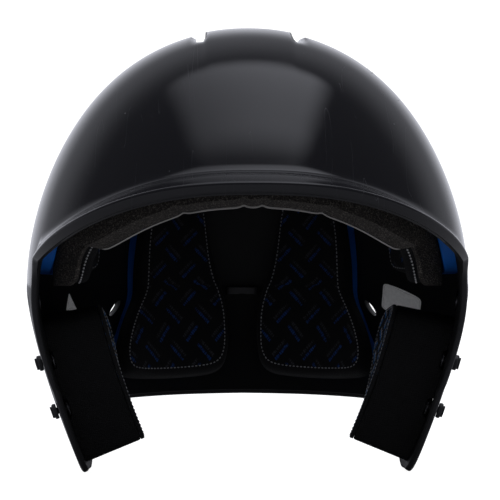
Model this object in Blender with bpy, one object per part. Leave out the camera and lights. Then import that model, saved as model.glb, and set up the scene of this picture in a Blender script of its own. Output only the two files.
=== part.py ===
"""Double-flap batting helmet, in metres, +Z up, bill towards -Y.

The origin is on the floor under the middle of the helmet's box, so the flap tips stand at z = 0.
"left" is the wearer's left, at +X.
"""
import math

import bmesh
import bpy
from mathutils import Vector

# ---- Driving dimensions -------------------------------------------------------------------------

# Dome: a slightly full half ellipsoid above the widest line, and a wall that tucks in below it.
DOME_RISE = 0.134            # widest line to crown
DOME_FULLNESS = (-0.040, 0.160, -0.067)     # shares added with the 2nd, 4th and 6th power of the cosine
FLAP_DROP = 0.095            # widest line to flap tips
HALF_WIDTH = 0.1138
FRONT_REACH = 0.121          # dome axis to forehead at the widest line
REAR_REACH = 0.121           # dome axis to back at the widest line
FLAP_TUCK = 0.0283           # how far the wall comes in at the flap tips
TUCK_POWER = 1.36
TUCK_SOFTNESS = 0.05         # keeps the wall smooth where the tuck starts
SQUARENESS = 0.02            # how much the plan outline fills its corners
SHELL_WALL = 0.0035

# Bill: a band from the brow line out to an elliptic edge.
BILL_REACH = 0.163           # dome axis to the middle of the bill's edge
BILL_HALF_WIDTH = HALF_WIDTH - 0.0018
BILL_SQUARENESS = 0.05
BILL_EDGE_RISE = 0.049       # widest line to the bill's edge, in the middle
BILL_SLOPE_DROP = 0.007      # brow line down to the bill's edge
BILL_ARCH = 0.041            # drop of the brow line from the middle to the sides
BILL_ARCH_POWER = 2.6
BILL_FILLET = 0.009
BILL_CORNER = 66.0           # azimuth, in degrees from the front, where the bill starts to fade out
BILL_END = 75.0

# Lower rim behind the bill: azimuth in degrees, share of the way from the brow corner to the tips.
FLAP_RIM = ((69.5, 0.10), (71.5, 0.28), (73.5, 0.50), (76.0, 0.73), (80.0, 0.91), (87.0, 0.995),
            (98.0, 1.0), (107.0, 0.94), (114.0, 0.82))
NAPE_DROP = 0.061            # widest line to the rim at the back
NAPE_RIM = ((121.0, 1.10), (130.0, 1.03), (150.0, 1.01), (180.0, 1.0))

# Openings in the shell.
EAR_AZIMUTH = 94.0
EAR_DROP = 0.046
EAR_HOLE = (0.018, 0.020)    # half length, half height
VENT_AZIMUTH = 139.0
VENT_DROP = 0.013
VENT = (0.0060, 0.0022)
VENT_TILT = math.radians(42)  # the long way rises towards the back
SLOT_X = 0.0248              # crown slots, each side of the middle band
SLOT_HALF_WIDTH = 0.0018
SLOT_FRONT = -0.040          # from the dome axis
SLOT_REAR = 0.030

# Lining.
GLUE_GAP = 0.0010            # between the lining and the shell
LAYER_GAP = 0.0010           # between two layers of the lining
BASE_THICK = 0.0075
PAD_THICK = 0.0110
BROW_THICK = 0.0115
BROW_HANG = 0.009            # below the bill's edge, in the middle
BROW_CLIMB = 0.030           # above the bill's edge, in the middle
BROW_ARCH = 0.055            # drop of the strip from the middle to the sides
BROW_SPAN = 50.0             # azimuth of the strip's ends
FACING_THICK = 0.0012
EAR_PAD_GAP = 0.0040         # room for the stud washers behind the ear pads
EAR_PAD_THICK = 0.0270
EAR_CAVITY = (0.019, 0.0215)  # half length, half height of the hole in an ear pad
EAR_CAVITY_AZIMUTH = 96.0

# Pads: lowest and highest edge over the widest line, then the azimuths in degrees of the front and
# the back edge by height.
SIDE_BASE = (0.0075, 0.56 * DOME_RISE, ((0, 75), (0.03, 70), (0.075, 66)), ((0, 128), (0.075, 120)))
TEMPLE_PAD = (0.0020, 0.485 * DOME_RISE, ((0, 66), (0.03, 57), (0.065, 55)), ((0, 92),))
SIDE_PAD = (0.008, 0.45 * DOME_RISE, ((0, 95),), ((0, 122), (0.06, 118)))
REAR_BASE = (-NAPE_DROP + 0.010, 0.52 * DOME_RISE,
             ((-0.059, 120), (-0.030, 135), (-0.008, 142)),
             ((-0.06, 173), (-0.02, 172), (0.022, 166), (0.07, 160)))
REAR_PAD = (-NAPE_DROP + 0.004, 0.49 * DOME_RISE,
            ((-0.059, 125), (-0.045, 130), (-0.023, 139), (-0.008, 145), (0.07, 146)),
            ((-0.06, 176), (-0.02, 175), (0.022, 169.5), (0.07, 164)))
REAR_ROUNDNESS = 0.2
CROWN_BASE = (26.0, 34.0)    # half sizes across and along, as polar angles in degrees
CROWN_PAD = (22.0, 29.0)
BRIDGE_HALF = (0.0085, 0.0045, 0.0020)
BRIDGE_DROP = 0.004
BRIDGE_GAP = 0.001

# Snap studs and face-guard inserts.
STUDS = (("upper", 78.5, 0.037), ("lower", 82.0, 0.062))
STUD_CAP_RADIUS = 0.0040
STUD_CAP_HEIGHT = 0.0022
STUD_SOCKET = (0.72, 0.80)   # shares of the cap's radius at its neck and at its top
STUD_SHANK_RADIUS = 0.0016
WASHER_RADIUS = 0.0045
WASHER_THICK = 0.0010
INSERT_AZIMUTH = 78.5
INSERT_DROP = 0.006
INSERT_RADIUS = 0.0038
INSERT_FLANGE = 0.0055
INSERT_THREAD = 0.0026
FIT_GAP = 0.0003
SEAT_GAP = 0.0013            # between a cap or washer and the curved wall

CUT_REACH = 0.02             # how far a cutter runs past the wall, each way

# Mesh fineness.
COLUMNS = 64
ROWS = 16

# ---- Values that follow -------------------------------------------------------------------------

EAR_PAD = (-FLAP_DROP + 0.0035, -INSERT_DROP - INSERT_FLANGE - 0.0040,
           ((-0.090, 87), (-0.065, 81.5), (-0.040, 78), (-0.010, 75.5)),
           ((-0.090, 97), (-0.065, 110), (-0.040, 117), (-0.010, 118)))

WIDEST_Z = FLAP_DROP
AXIS_Y = (BILL_REACH - REAR_REACH) / 2
LINING = SHELL_WALL + GLUE_GAP
SIDES = (("left", 1.0), ("right", -1.0))


# ---- The dome as a formula ----------------------------------------------------------------------

def meridian(polar):
    """Share of the full radius and height over the widest line, at a polar angle from the crown."""
    if polar <= math.pi / 2:
        square = math.cos(polar) ** 2
        fuller = sum(share * square ** (k + 1) for k, share in enumerate(DOME_FULLNESS))
        return math.sin(polar) * (1 + fuller), DOME_RISE * math.cos(polar)
    drop = DOME_RISE * (polar - math.pi / 2)
    part = drop / FLAP_DROP
    tuck = part ** 2 * (1 + TUCK_SOFTNESS) / (part ** (2 - TUCK_POWER) + TUCK_SOFTNESS)
    return 1 - tuck * FLAP_TUCK / HALF_WIDTH, -drop


def polar_at(rise):
    """Polar angle of the wall at a height over the widest line."""
    if rise >= 0:
        return math.acos(min(1.0, rise / DOME_RISE))
    return math.pi / 2 - rise / DOME_RISE


def dome(azimuth, polar):
    """Point on the outside of the dome; azimuth runs from the front towards +X."""
    share, rise = meridian(polar)
    share *= 1 + SQUARENESS * math.sin(2 * azimuth) ** 2
    reach = FRONT_REACH if math.cos(azimuth) > 0 else REAR_REACH
    return Vector((HALF_WIDTH * share * math.sin(azimuth),
                   AXIS_Y - reach * share * math.cos(azimuth),
                   WIDEST_Z + rise))


def dome_normal(azimuth, polar):
    """Outward unit normal of the dome."""
    step = 1e-4
    if polar < 1e-3:
        return Vector((0, 0, 1))
    across = dome(azimuth + step, polar) - dome(azimuth - step, polar)
    down = dome(azimuth, polar + step) - dome(azimuth, polar - step)
    return down.cross(across).normalized()


def inside(azimuth, polar, depth):
    """Point at a depth behind the dome's outside."""
    return dome(azimuth, polar) - dome_normal(azimuth, polar) * depth


def on_wall(azimuth_degrees, rise, depth=0.0):
    """Point and outward normal at an azimuth in degrees and a height over the widest line."""
    azimuth = math.radians(azimuth_degrees)
    polar = polar_at(rise)
    return inside(azimuth, polar, depth), dome_normal(azimuth, polar)


# ---- Small helpers ------------------------------------------------------------------------------

def smooth(value):
    value = min(1.0, max(0.0, value))
    return value * value * (3 - 2 * value)


def lookup(table, value):
    """Straight-line value between the (key, value) pairs of a table, keys rising."""
    if value <= table[0][0]:
        return table[0][1]
    for (low, first), (high, second) in zip(table, table[1:]):
        if value <= high:
            return first + (second - first) * (value - low) / (high - low)
    return table[-1][1]


def spline(points, steps):
    """Catmull-Rom curve through 2-D points, with a number of steps in each span."""
    ends = [points[0], *points, points[-1]]
    curve = []
    for i in range(1, len(ends) - 2):
        a, b, c, d = (Vector(p) for p in ends[i - 1:i + 3])
        for k in range(steps):
            t = k / steps
            curve.append(0.5 * (2 * b + (c - a) * t + (2 * a - 5 * b + 4 * c - d) * t * t
                                + (3 * b - a - 3 * c + d) * t ** 3))
    curve.append(Vector(points[-1]))
    return curve


def resample(points, count):
    """Evenly spaced points along a polyline, both ends kept."""
    lengths = [0.0]
    for first, second in zip(points, points[1:]):
        lengths.append(lengths[-1] + (second - first).length)
    result = []
    i = 0
    for k in range(count):
        target = lengths[-1] * k / (count - 1)
        while i < len(points) - 2 and lengths[i + 1] < target:
            i += 1
        span = lengths[i + 1] - lengths[i]
        share = (target - lengths[i]) / span if span > 0 else 0.0
        result.append(points[i].lerp(points[i + 1], min(1.0, max(0.0, share))))
    return result


def material(name, colour, roughness, metallic=0.0):
    found = bpy.data.materials.get(name)
    if found:
        return found
    made = bpy.data.materials.new(name)
    made.use_nodes = True
    shader = made.node_tree.nodes["Principled BSDF"]
    shader.inputs["Base Color"].default_value = (*colour, 1.0)
    shader.inputs["Roughness"].default_value = roughness
    shader.inputs["Metallic"].default_value = metallic
    made.diffuse_color = (*colour, 1.0)
    return made


def add_object(name, bm, finish=None, angle=40):
    bmesh.ops.recalc_face_normals(bm, faces=bm.faces)
    mesh = bpy.data.meshes.new(name)
    bm.to_mesh(mesh)
    bm.free()
    mesh.shade_smooth()
    mesh.set_sharp_from_angle(angle=math.radians(angle))
    obj = bpy.data.objects.new(name, mesh)
    bpy.context.scene.collection.objects.link(obj)
    if finish:
        mesh.materials.append(finish)
    return obj


def cut(obj, cutter):
    """Take a closed cutter away from an object."""
    cutter.hide_render = True
    cutter.display_type = "WIRE"
    boolean = obj.modifiers.new("cut_" + cutter.name, "BOOLEAN")
    boolean.operation = "DIFFERENCE"
    boolean.solver = "EXACT"
    boolean.object = cutter


def turned(name, centre, axis, profile, finish=None, sides=16):
    """Solid of revolution; profile pairs are (radius, distance along the axis), bottom to top."""
    axis = axis.normalized()
    across = axis.cross(Vector((0, 1, 0))).normalized()
    along = axis.cross(across)
    bm = bmesh.new()
    rings = []
    for radius, height in profile:
        ring = []
        for k in range(sides):
            turn = 2 * math.pi * k / sides
            spoke = across * math.cos(turn) + along * math.sin(turn)
            ring.append(bm.verts.new(centre + axis * height + spoke * radius))
        rings.append(ring)
    for low, high in zip(rings, rings[1:]):
        for k in range(sides):
            bm.faces.new((low[k], low[(k + 1) % sides], high[(k + 1) % sides], high[k]))
    bm.faces.new(rings[0])
    bm.faces.new(rings[-1])
    return add_object(name, bm, finish)


def oval_cutter(name, centre, axis, half_length, half_height, reach, tilt=0.0, sides=28):
    """Oval prism along a horizontal axis; its long way is turned up by a tilt."""
    axis = Vector((axis.x, axis.y, 0)).normalized()
    level = Vector((-axis.y, axis.x, 0))
    upright = Vector((0, 0, 1))
    across = level * math.cos(tilt) + upright * math.sin(tilt)
    up = upright * math.cos(tilt) - level * math.sin(tilt)
    bm = bmesh.new()
    ends = []
    for distance in (-reach, reach):
        ring = []
        for k in range(sides):
            turn = 2 * math.pi * k / sides
            offset = across * half_length * math.cos(turn) + up * half_height * math.sin(turn)
            ring.append(bm.verts.new(centre + axis * distance + offset))
        ends.append(ring)
    for k in range(sides):
        following = (k + 1) % sides
        bm.faces.new((ends[0][k], ends[0][following], ends[1][following], ends[1][k]))
    bm.faces.new(ends[0])
    bm.faces.new(ends[1])
    return add_object(name, bm)


# ---- Shell --------------------------------------------------------------------------------------

def brow_rise(azimuth):
    """Height of the brow line over the widest line, where the bill leaves the dome."""
    arch = BILL_ARCH * abs(math.sin(azimuth)) ** BILL_ARCH_POWER
    return BILL_EDGE_RISE + BILL_SLOPE_DROP - arch


def bill_share(azimuth):
    """1 along the bill, fading to 0 where the flap's front edge begins."""
    degrees = abs(math.degrees(azimuth))
    return 1 - smooth((degrees - BILL_CORNER) / (BILL_END - BILL_CORNER))


def rim_half():
    """Lower rim from the front middle to the back middle, as (azimuth, rise) pairs."""
    corner = brow_rise(math.radians(BILL_CORNER))
    knots = [(degrees, corner + (-FLAP_DROP - corner) * share) for degrees, share in FLAP_RIM]
    nape_front = [(degrees, -NAPE_DROP * share) for degrees, share in NAPE_RIM]
    rim = [Vector((math.radians(degrees), brow_rise(math.radians(degrees))))
           for degrees in range(0, int(BILL_CORNER), 2)]
    side = spline([(BILL_CORNER, corner), *knots, *nape_front], 12)
    rim += [Vector((math.radians(degrees), max(rise, -FLAP_DROP))) for degrees, rise in side]
    return rim


def rim_point(azimuth, rise):
    """Outer corner of the rim in space, with the bill's reach added."""
    polar = polar_at(rise)
    corner = dome(azimuth, polar)
    share = bill_share(azimuth)
    if share <= 0:
        return corner
    fuller = 1 + BILL_SQUARENESS * math.sin(2 * azimuth) ** 2
    edge = Vector((BILL_HALF_WIDTH * fuller * math.sin(azimuth),
                   AXIS_Y - BILL_REACH * fuller * math.cos(azimuth),
                   corner.z - BILL_SLOPE_DROP))
    return corner.lerp(edge, share)


def column(start_azimuth, rim_azimuth, rise, count):
    """Points from just under the crown down the dome and out along the bill."""
    polar_end = polar_at(rise)
    corner = dome(rim_azimuth, polar_end)
    edge = rim_point(rim_azimuth, rise)
    bill = edge - corner
    fillet = min(BILL_FILLET, 0.45 * bill.length)
    polar_stop = polar_end - fillet / DOME_RISE
    path = []
    steps = 60
    for k in range(steps + 1):
        share = k / steps
        azimuth = start_azimuth + (rim_azimuth - start_azimuth) * smooth(share)
        path.append(dome(azimuth, polar_stop * share))
    if fillet > 0:
        start = path[-1]
        end = corner + bill.normalized() * fillet
        for k in range(1, 9):
            t = k / 8
            path.append(start * (1 - t) ** 2 + corner * 2 * t * (1 - t) + end * t * t)
    path.append(edge)
    return resample(path, count)


def shell_columns():
    """All the columns of the shell's outside, front middle first, round by +X."""
    half = rim_half()
    spots = [rim_point(azimuth, rise) for azimuth, rise in half]
    lengths = [0.0]
    for first, second in zip(spots, spots[1:]):
        lengths.append(lengths[-1] + (second - first).length)
    table = [(length, k) for k, length in enumerate(lengths)]
    half_columns = []
    number = COLUMNS // 2
    for k in range(number + 1):
        place = lookup(table, lengths[-1] * k / number)
        low = min(int(place), len(half) - 2)
        azimuth, rise = half[low].lerp(half[low + 1], place - low)
        half_columns.append(column(math.pi * k / number, azimuth, rise, ROWS + 1))
    mirrored = [[Vector((-p.x, p.y, p.z)) for p in points] for points in half_columns[-2:0:-1]]
    return half_columns + mirrored


def make_shell():
    columns = shell_columns()
    bm = bmesh.new()
    crown = bm.verts.new((0, AXIS_Y, WIDEST_Z + DOME_RISE))
    grid = [[bm.verts.new(p) for p in points[1:]] for points in columns]
    count = len(grid)
    for i in range(count):
        here, following = grid[i], grid[(i + 1) % count]
        bm.faces.new((crown, here[0], following[0]))
        for j in range(ROWS - 1):
            bm.faces.new((here[j], here[j + 1], following[j + 1], following[j]))
    bmesh.ops.recalc_face_normals(bm, faces=bm.faces)
    bm.normal_update()
    outer = list(bm.verts)
    outer_faces = list(bm.faces)
    flip = -1.0 if crown.normal.z < 0 else 1.0
    inner = {}
    for vert in outer:
        inner[vert] = bm.verts.new(vert.co - vert.normal * flip * SHELL_WALL)
    for face in outer_faces:
        bm.faces.new([inner[v] for v in reversed(face.verts)])
    for i in range(count):
        here, following = grid[i][-1], grid[(i + 1) % count][-1]
        bm.faces.new((here, inner[here], inner[following], following))
    return add_object("shell", bm, material("gloss_black", (0.012, 0.012, 0.014), 0.08))


def slot_cutter(name, side):
    """Long round-ended slot beside the crown's middle band."""
    bm = bmesh.new()
    outline = []
    for centre, start in ((SLOT_REAR - SLOT_HALF_WIDTH, 0.0), (SLOT_FRONT + SLOT_HALF_WIDTH, math.pi)):
        for k in range(7):
            turn = start + math.pi * k / 6
            outline.append((SLOT_HALF_WIDTH * math.cos(turn), centre + SLOT_HALF_WIDTH * math.sin(turn)))
    top = WIDEST_Z + DOME_RISE + CUT_REACH
    bottom = WIDEST_Z + DOME_RISE - 2 * CUT_REACH
    low = [bm.verts.new((side * SLOT_X + x, AXIS_Y + y, bottom)) for x, y in outline]
    high = [bm.verts.new((side * SLOT_X + x, AXIS_Y + y, top)) for x, y in outline]
    for k in range(len(low)):
        following = (k + 1) % len(low)
        bm.faces.new((low[k], low[following], high[following], high[k]))
    bm.faces.new(low)
    bm.faces.new(high)
    return add_object(name, bm)


def bore_cutter(name, azimuth, drop, radius, side):
    point, normal = on_wall(side * azimuth, -drop, SHELL_WALL / 2)
    reach = SHELL_WALL * 2
    return turned(name, point, normal, ((radius, -reach), (radius, reach)))


def cut_shell(shell):
    for side_name, side in SIDES:
        point, normal = on_wall(side * EAR_AZIMUTH, -EAR_DROP)
        cut(shell, oval_cutter("ear_cut_" + side_name, point, normal, *EAR_HOLE, CUT_REACH))
        point, normal = on_wall(side * VENT_AZIMUTH, -VENT_DROP)
        cut(shell, oval_cutter("vent_cut_" + side_name, point, normal, *VENT, 0.6 * CUT_REACH,
                               side * VENT_TILT))
        cut(shell, slot_cutter("slot_cut_" + side_name, side))
        for stud_name, azimuth, drop in STUDS:
            bore = STUD_SHANK_RADIUS + FIT_GAP
            cut(shell, bore_cutter("bore_%s_%s" % (stud_name, side_name), azimuth, drop, bore, side))
        cut(shell, bore_cutter("insert_bore_" + side_name, INSERT_AZIMUTH, INSERT_DROP,
                               INSERT_RADIUS + FIT_GAP, side))


# ---- Lining -------------------------------------------------------------------------------------

def patch(name, side, low, high, front, back, depth, thickness, finish, roundness=0.35,
          across=7, up=6, arch=0.0):
    """Curved pad on the wall between two heights; front and back give its azimuth by height."""
    bm = bmesh.new()
    layers = []
    for level in (depth, depth + thickness):
        grid = []
        for j in range(up + 1):
            v = 2 * j / up - 1
            row = []
            for i in range(across + 1):
                u = 2 * i / across - 1
                u_round = u * math.sqrt(1 - roundness * v * v / 2)
                v_round = v * math.sqrt(1 - roundness * u * u / 2)
                rise = low + (high - low) * (v_round + 1) / 2
                first, last = lookup(front, rise), lookup(back, rise)
                degrees = first + (last - first) * (u_round + 1) / 2
                azimuth = math.radians(degrees)
                rise -= arch * abs(math.sin(azimuth)) ** BILL_ARCH_POWER
                point = inside(azimuth * side, polar_at(rise), level)
                row.append(bm.verts.new(point))
            grid.append(row)
        layers.append(grid)
    for grid in layers:
        for j in range(up):
            for i in range(across):
                bm.faces.new((grid[j][i], grid[j][i + 1], grid[j + 1][i + 1], grid[j + 1][i]))
    border = [(0, i) for i in range(across)] + [(j, across) for j in range(up)]
    border += [(up, i) for i in range(across, 0, -1)] + [(j, 0) for j in range(up, 0, -1)]
    outer, inner = layers
    for (j, i), (jn, i_n) in zip(border, border[1:] + border[:1]):
        bm.faces.new((outer[j][i], outer[jn][i_n], inner[jn][i_n], inner[j][i]))
    return add_object(name, bm, finish)


def crown_disc(name, half_across, half_along, depth, thickness, finish, around=24, rings=4):
    """Oval pad under the crown; its half sizes are polar angles in degrees."""
    bm = bmesh.new()
    layers = []
    for level in (depth, depth + thickness):
        middle = bm.verts.new(inside(0.0, 0.0, level))
        rows = []
        for j in range(1, rings + 1):
            row = []
            for k in range(around):
                turn = 2 * math.pi * k / around
                size = math.hypot(half_across * math.sin(turn), half_along * math.cos(turn))
                row.append(bm.verts.new(inside(turn, math.radians(size) * j / rings, level)))
            rows.append(row)
        for k in range(around):
            following = (k + 1) % around
            bm.faces.new((middle, rows[0][k], rows[0][following]))
            for j in range(rings - 1):
                bm.faces.new((rows[j][k], rows[j + 1][k], rows[j + 1][following], rows[j][following]))
        layers.append(rows[-1])
    outer, inner = layers
    for k in range(around):
        following = (k + 1) % around
        bm.faces.new((outer[k], outer[following], inner[following], inner[k]))
    return add_object(name, bm, finish)


def make_lining():
    foam = material("brown_foam", (0.10, 0.085, 0.075), 0.95)
    blue = material("blue_foam", (0.02, 0.14, 0.55), 0.8)
    fabric = material("black_fabric", (0.015, 0.015, 0.018), 0.9)
    block = material("black_foam", (0.012, 0.012, 0.012), 0.95)

    brow = dict(low=BILL_EDGE_RISE - BROW_HANG, high=BILL_EDGE_RISE + BROW_CLIMB,
                front=((0, -BROW_SPAN),), back=((0, BROW_SPAN),), roundness=0.35,
                across=14, up=4, arch=BROW_ARCH)
    patch("brow_foam", 1, depth=LINING, thickness=BROW_THICK, finish=foam, **brow)
    patch("brow_facing", 1, depth=LINING + BROW_THICK + LAYER_GAP, thickness=FACING_THICK,
          finish=fabric, **brow)

    second = LINING + BASE_THICK + LAYER_GAP
    for side_name, side in SIDES:
        patch("side_base_" + side_name, side, *SIDE_BASE, LINING, BASE_THICK, blue)
        patch("temple_pad_" + side_name, side, *TEMPLE_PAD, second, PAD_THICK, foam)
        patch("side_pad_" + side_name, side, *SIDE_PAD, second, PAD_THICK, fabric)
        patch("rear_base_" + side_name, side, *REAR_BASE, LINING, BASE_THICK, blue, REAR_ROUNDNESS)
        patch("rear_pad_" + side_name, side, *REAR_PAD, second, PAD_THICK, fabric, REAR_ROUNDNESS)

        depth = SHELL_WALL + EAR_PAD_GAP
        ear = patch("ear_pad_" + side_name, side, *EAR_PAD, depth, EAR_PAD_THICK, block)
        depth += EAR_PAD_THICK + LAYER_GAP
        facing = patch("ear_facing_" + side_name, side, *EAR_PAD, depth, FACING_THICK, fabric)
        point, _ = on_wall(side * EAR_CAVITY_AZIMUTH, -EAR_DROP)
        cavity = oval_cutter("cavity_cut_" + side_name, point, Vector((1, 0, 0)), *EAR_CAVITY,
                             3 * CUT_REACH)
        cut(ear, cavity)
        cut(facing, cavity)

    crown_disc("crown_base", *CROWN_BASE, LINING, BASE_THICK, blue)
    crown_disc("crown_pad", *CROWN_PAD, second, PAD_THICK, fabric)


# ---- Hardware -----------------------------------------------------------------------------------

def make_hardware():
    steel = material("dark_steel", (0.05, 0.05, 0.055), 0.35, 1.0)
    black = material("black_plastic", (0.015, 0.015, 0.017), 0.4)
    for side_name, side in SIDES:
        for stud_name, azimuth, drop in STUDS:
            point, normal = on_wall(side * azimuth, -drop)
            cap = STUD_CAP_RADIUS
            tail = -SHELL_WALL - SEAT_GAP - WASHER_THICK - FIT_GAP
            turned("stud_%s_%s" % (stud_name, side_name), point, normal,
                   ((STUD_SHANK_RADIUS, tail), (STUD_SHANK_RADIUS, SEAT_GAP), (cap, SEAT_GAP),
                    (cap, SEAT_GAP + 0.4 * STUD_CAP_HEIGHT),
                    (cap * STUD_SOCKET[0], SEAT_GAP + 0.55 * STUD_CAP_HEIGHT),
                    (cap * STUD_SOCKET[1], SEAT_GAP + STUD_CAP_HEIGHT)), black)
            washer = turned("stud_washer_%s_%s" % (stud_name, side_name), point, normal,
                            ((WASHER_RADIUS, -SHELL_WALL - SEAT_GAP - WASHER_THICK),
                             (WASHER_RADIUS, -SHELL_WALL - SEAT_GAP)), steel)
            bore = STUD_SHANK_RADIUS + FIT_GAP
            cut(washer, turned("washer_cut_%s_%s" % (stud_name, side_name), point, normal,
                               ((bore, -CUT_REACH), (bore, CUT_REACH))))
        point, normal = on_wall(side * INSERT_AZIMUTH, -INSERT_DROP)
        insert = turned("mask_insert_" + side_name, point, normal,
                        ((INSERT_FLANGE, -SHELL_WALL - SEAT_GAP - WASHER_THICK),
                         (INSERT_FLANGE, -SHELL_WALL - SEAT_GAP), (INSERT_RADIUS, -SHELL_WALL - SEAT_GAP),
                         (INSERT_RADIUS, 0.0)), steel)
        thread = ((INSERT_THREAD, -CUT_REACH), (INSERT_THREAD, CUT_REACH))
        cut(insert, turned("thread_cut_" + side_name, point, normal, thread))
        plug = INSERT_THREAD - FIT_GAP
        turned("mask_plug_" + side_name, point, normal, ((plug, -SHELL_WALL), (plug, 0.0)), black)

    rear, _ = on_wall(180.0, -BRIDGE_DROP, LINING)
    bridge = bmesh.new()
    bmesh.ops.create_cube(bridge, size=2.0)
    for vert in bridge.verts:
        vert.co *= Vector(BRIDGE_HALF)
        vert.co += Vector((0, rear.y - BRIDGE_HALF[1] - BRIDGE_GAP, rear.z))
    add_object("rear_bridge", bridge, black)


def main():
    for obj in list(bpy.data.objects):
        bpy.data.objects.remove(obj, do_unlink=True)
    cut_shell(make_shell())
    make_lining()
    make_hardware()


main()
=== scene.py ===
"""Batting helmet with a bill and two ear flaps: a gloss shell lined with foam and printed fabric pads.

Metres, +Z up, bill towards -Y, wearer's left at +X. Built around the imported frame.
"""
import math

import bmesh
import bpy
import numpy as np
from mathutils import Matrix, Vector


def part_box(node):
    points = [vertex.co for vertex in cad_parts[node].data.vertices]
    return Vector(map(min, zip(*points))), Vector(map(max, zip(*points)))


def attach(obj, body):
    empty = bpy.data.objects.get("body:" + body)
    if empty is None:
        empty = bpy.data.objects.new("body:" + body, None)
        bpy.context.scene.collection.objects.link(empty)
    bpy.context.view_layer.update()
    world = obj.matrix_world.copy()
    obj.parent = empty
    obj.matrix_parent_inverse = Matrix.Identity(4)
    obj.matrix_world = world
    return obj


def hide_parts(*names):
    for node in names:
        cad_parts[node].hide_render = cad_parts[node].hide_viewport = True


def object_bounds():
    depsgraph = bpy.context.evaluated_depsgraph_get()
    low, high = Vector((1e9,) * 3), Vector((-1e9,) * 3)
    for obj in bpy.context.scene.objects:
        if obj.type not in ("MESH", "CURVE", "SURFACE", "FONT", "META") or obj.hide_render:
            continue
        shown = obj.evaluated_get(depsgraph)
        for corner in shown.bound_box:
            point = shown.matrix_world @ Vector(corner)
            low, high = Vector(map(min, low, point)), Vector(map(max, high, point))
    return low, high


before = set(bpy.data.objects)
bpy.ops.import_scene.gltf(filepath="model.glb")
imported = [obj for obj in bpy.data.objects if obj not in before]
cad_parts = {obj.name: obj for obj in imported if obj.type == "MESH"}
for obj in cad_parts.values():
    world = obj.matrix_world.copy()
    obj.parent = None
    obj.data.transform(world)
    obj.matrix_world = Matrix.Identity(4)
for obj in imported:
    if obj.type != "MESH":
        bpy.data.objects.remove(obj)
frame_low, frame_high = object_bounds()
shell_low, shell_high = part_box("shell")
SIDES = (("left", 1.0), ("right", -1.0))


# ---- Shell ---------------------------------------------------------------------------------------
# One injection-moulded ABS shell, 3.5 mm thick, polished gloss black. The dome, the bill and the two
# ear flaps are one piece. The bill ends in a thicker lip, and a raised band runs over the crown
# between two vent slots. Ear holes and rear vents are cut through the wall.

WIDEST_Z = 0.095
DOME_RISE = shell_high.z - WIDEST_Z
FLAP_DROP = WIDEST_Z - shell_low.z - 0.0009   # the rounded rim reaches the floor
HALF_WIDTH = 0.1138
DOME_FULLNESS = (-0.040, 0.160, -0.067)
REACH = 0.121                       # dome axis to forehead, and to the back, at the widest line
AXIS_Y = shell_high.y - REACH
FLAP_TUCK = 0.0283
TUCK_POWER = 1.36
TUCK_SOFTNESS = 0.05
SQUARENESS = 0.02
SHELL_WALL = 0.0035

BILL_REACH = AXIS_Y - shell_low.y
BILL_HALF_WIDTH = 0.112
BILL_SQUARENESS = 0.05
BILL_EDGE_RISE = 0.049
BILL_SLOPE_DROP = 0.007
BILL_ARCH = 0.041
BILL_ARCH_POWER = 2.6
BILL_FILLET = 0.0045
BILL_CORNER = 66.0
BILL_END = 75.0
LIP_EXTRA, LIP_WIDTH = 0.0018, 0.030    # extra wall at the bill's lip
FLAP_RIM = ((69.5, 0.10), (71.5, 0.28), (73.5, 0.50), (76.0, 0.73), (80.0, 0.91), (87.0, 0.995),
            (98.0, 1.0), (107.0, 0.94), (114.0, 0.82))
NAPE_DROP = 0.061
NAPE_RIM = ((121.0, 1.10), (130.0, 1.03), (150.0, 1.01), (180.0, 1.0))
RIM_ROUND = 0.0014
BEAD_HEIGHT, BEAD_WIDTH = 0.0008, 0.0048   # raised bead along the lip

COLUMNS = 300
ROWS = 136
CROWDING = 0.6                      # how much closer the rows lie at the crown and at the rim
CORNER_STEPS = 39
CORNER_WEIGHT, BILL_WEIGHT = 6.0, 2.0   # how much closer they lie on the fillet and on the bill


def meridian(polar):
    """Share of the full radius, and height over the widest line, at polar angles from the crown."""
    polar = np.asarray(polar, float)
    above = np.minimum(polar, math.pi / 2)
    square = np.cos(above) ** 2
    fuller = sum(share * square ** (k + 1) for k, share in enumerate(DOME_FULLNESS))
    drop = (polar - above) * DOME_RISE
    part = drop / FLAP_DROP
    tuck = part ** 2 * (1 + TUCK_SOFTNESS) / (part ** (2 - TUCK_POWER) + TUCK_SOFTNESS)
    share = np.sin(above) * (1 + fuller) - tuck * FLAP_TUCK / HALF_WIDTH
    return share, DOME_RISE * np.cos(above) - drop


def polar_at(rise):
    """Polar angle of the wall at heights over the widest line."""
    rise = np.asarray(rise, float)
    above = np.arccos(np.clip(rise / DOME_RISE, 0.0, 1.0))
    return np.where(rise >= 0, above, math.pi / 2 - rise / DOME_RISE)


def smooth(value):
    value = np.clip(value, 0.0, 1.0)
    return value * value * (3 - 2 * value)


def dome(azimuth, polar):
    """Points on the outside of the plain dome; azimuth runs from the front towards +X."""
    azimuth, polar = np.broadcast_arrays(np.asarray(azimuth, float), np.asarray(polar, float))
    share, rise = meridian(polar)
    share = share * (1 + SQUARENESS * np.sin(2 * azimuth) ** 2)
    return np.stack([HALF_WIDTH * share * np.sin(azimuth),
                     AXIS_Y - REACH * share * np.cos(azimuth),
                     WIDEST_Z + rise], axis=-1)


def dome_normal(azimuth, polar):
    """Outward unit normals of the plain dome."""
    step = 1e-4
    polar = np.maximum(polar, 2e-3)
    across = dome(azimuth + step, polar) - dome(azimuth - step, polar)
    down = dome(azimuth, polar + step) - dome(azimuth, polar - step)
    normal = np.cross(down, across)
    return normal / np.linalg.norm(normal, axis=-1, keepdims=True)


def inside(azimuth, polar, depth):
    """Points at a depth behind the dome's outside."""
    return dome(azimuth, polar) - dome_normal(azimuth, polar) * np.asarray(depth)[..., None]


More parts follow.
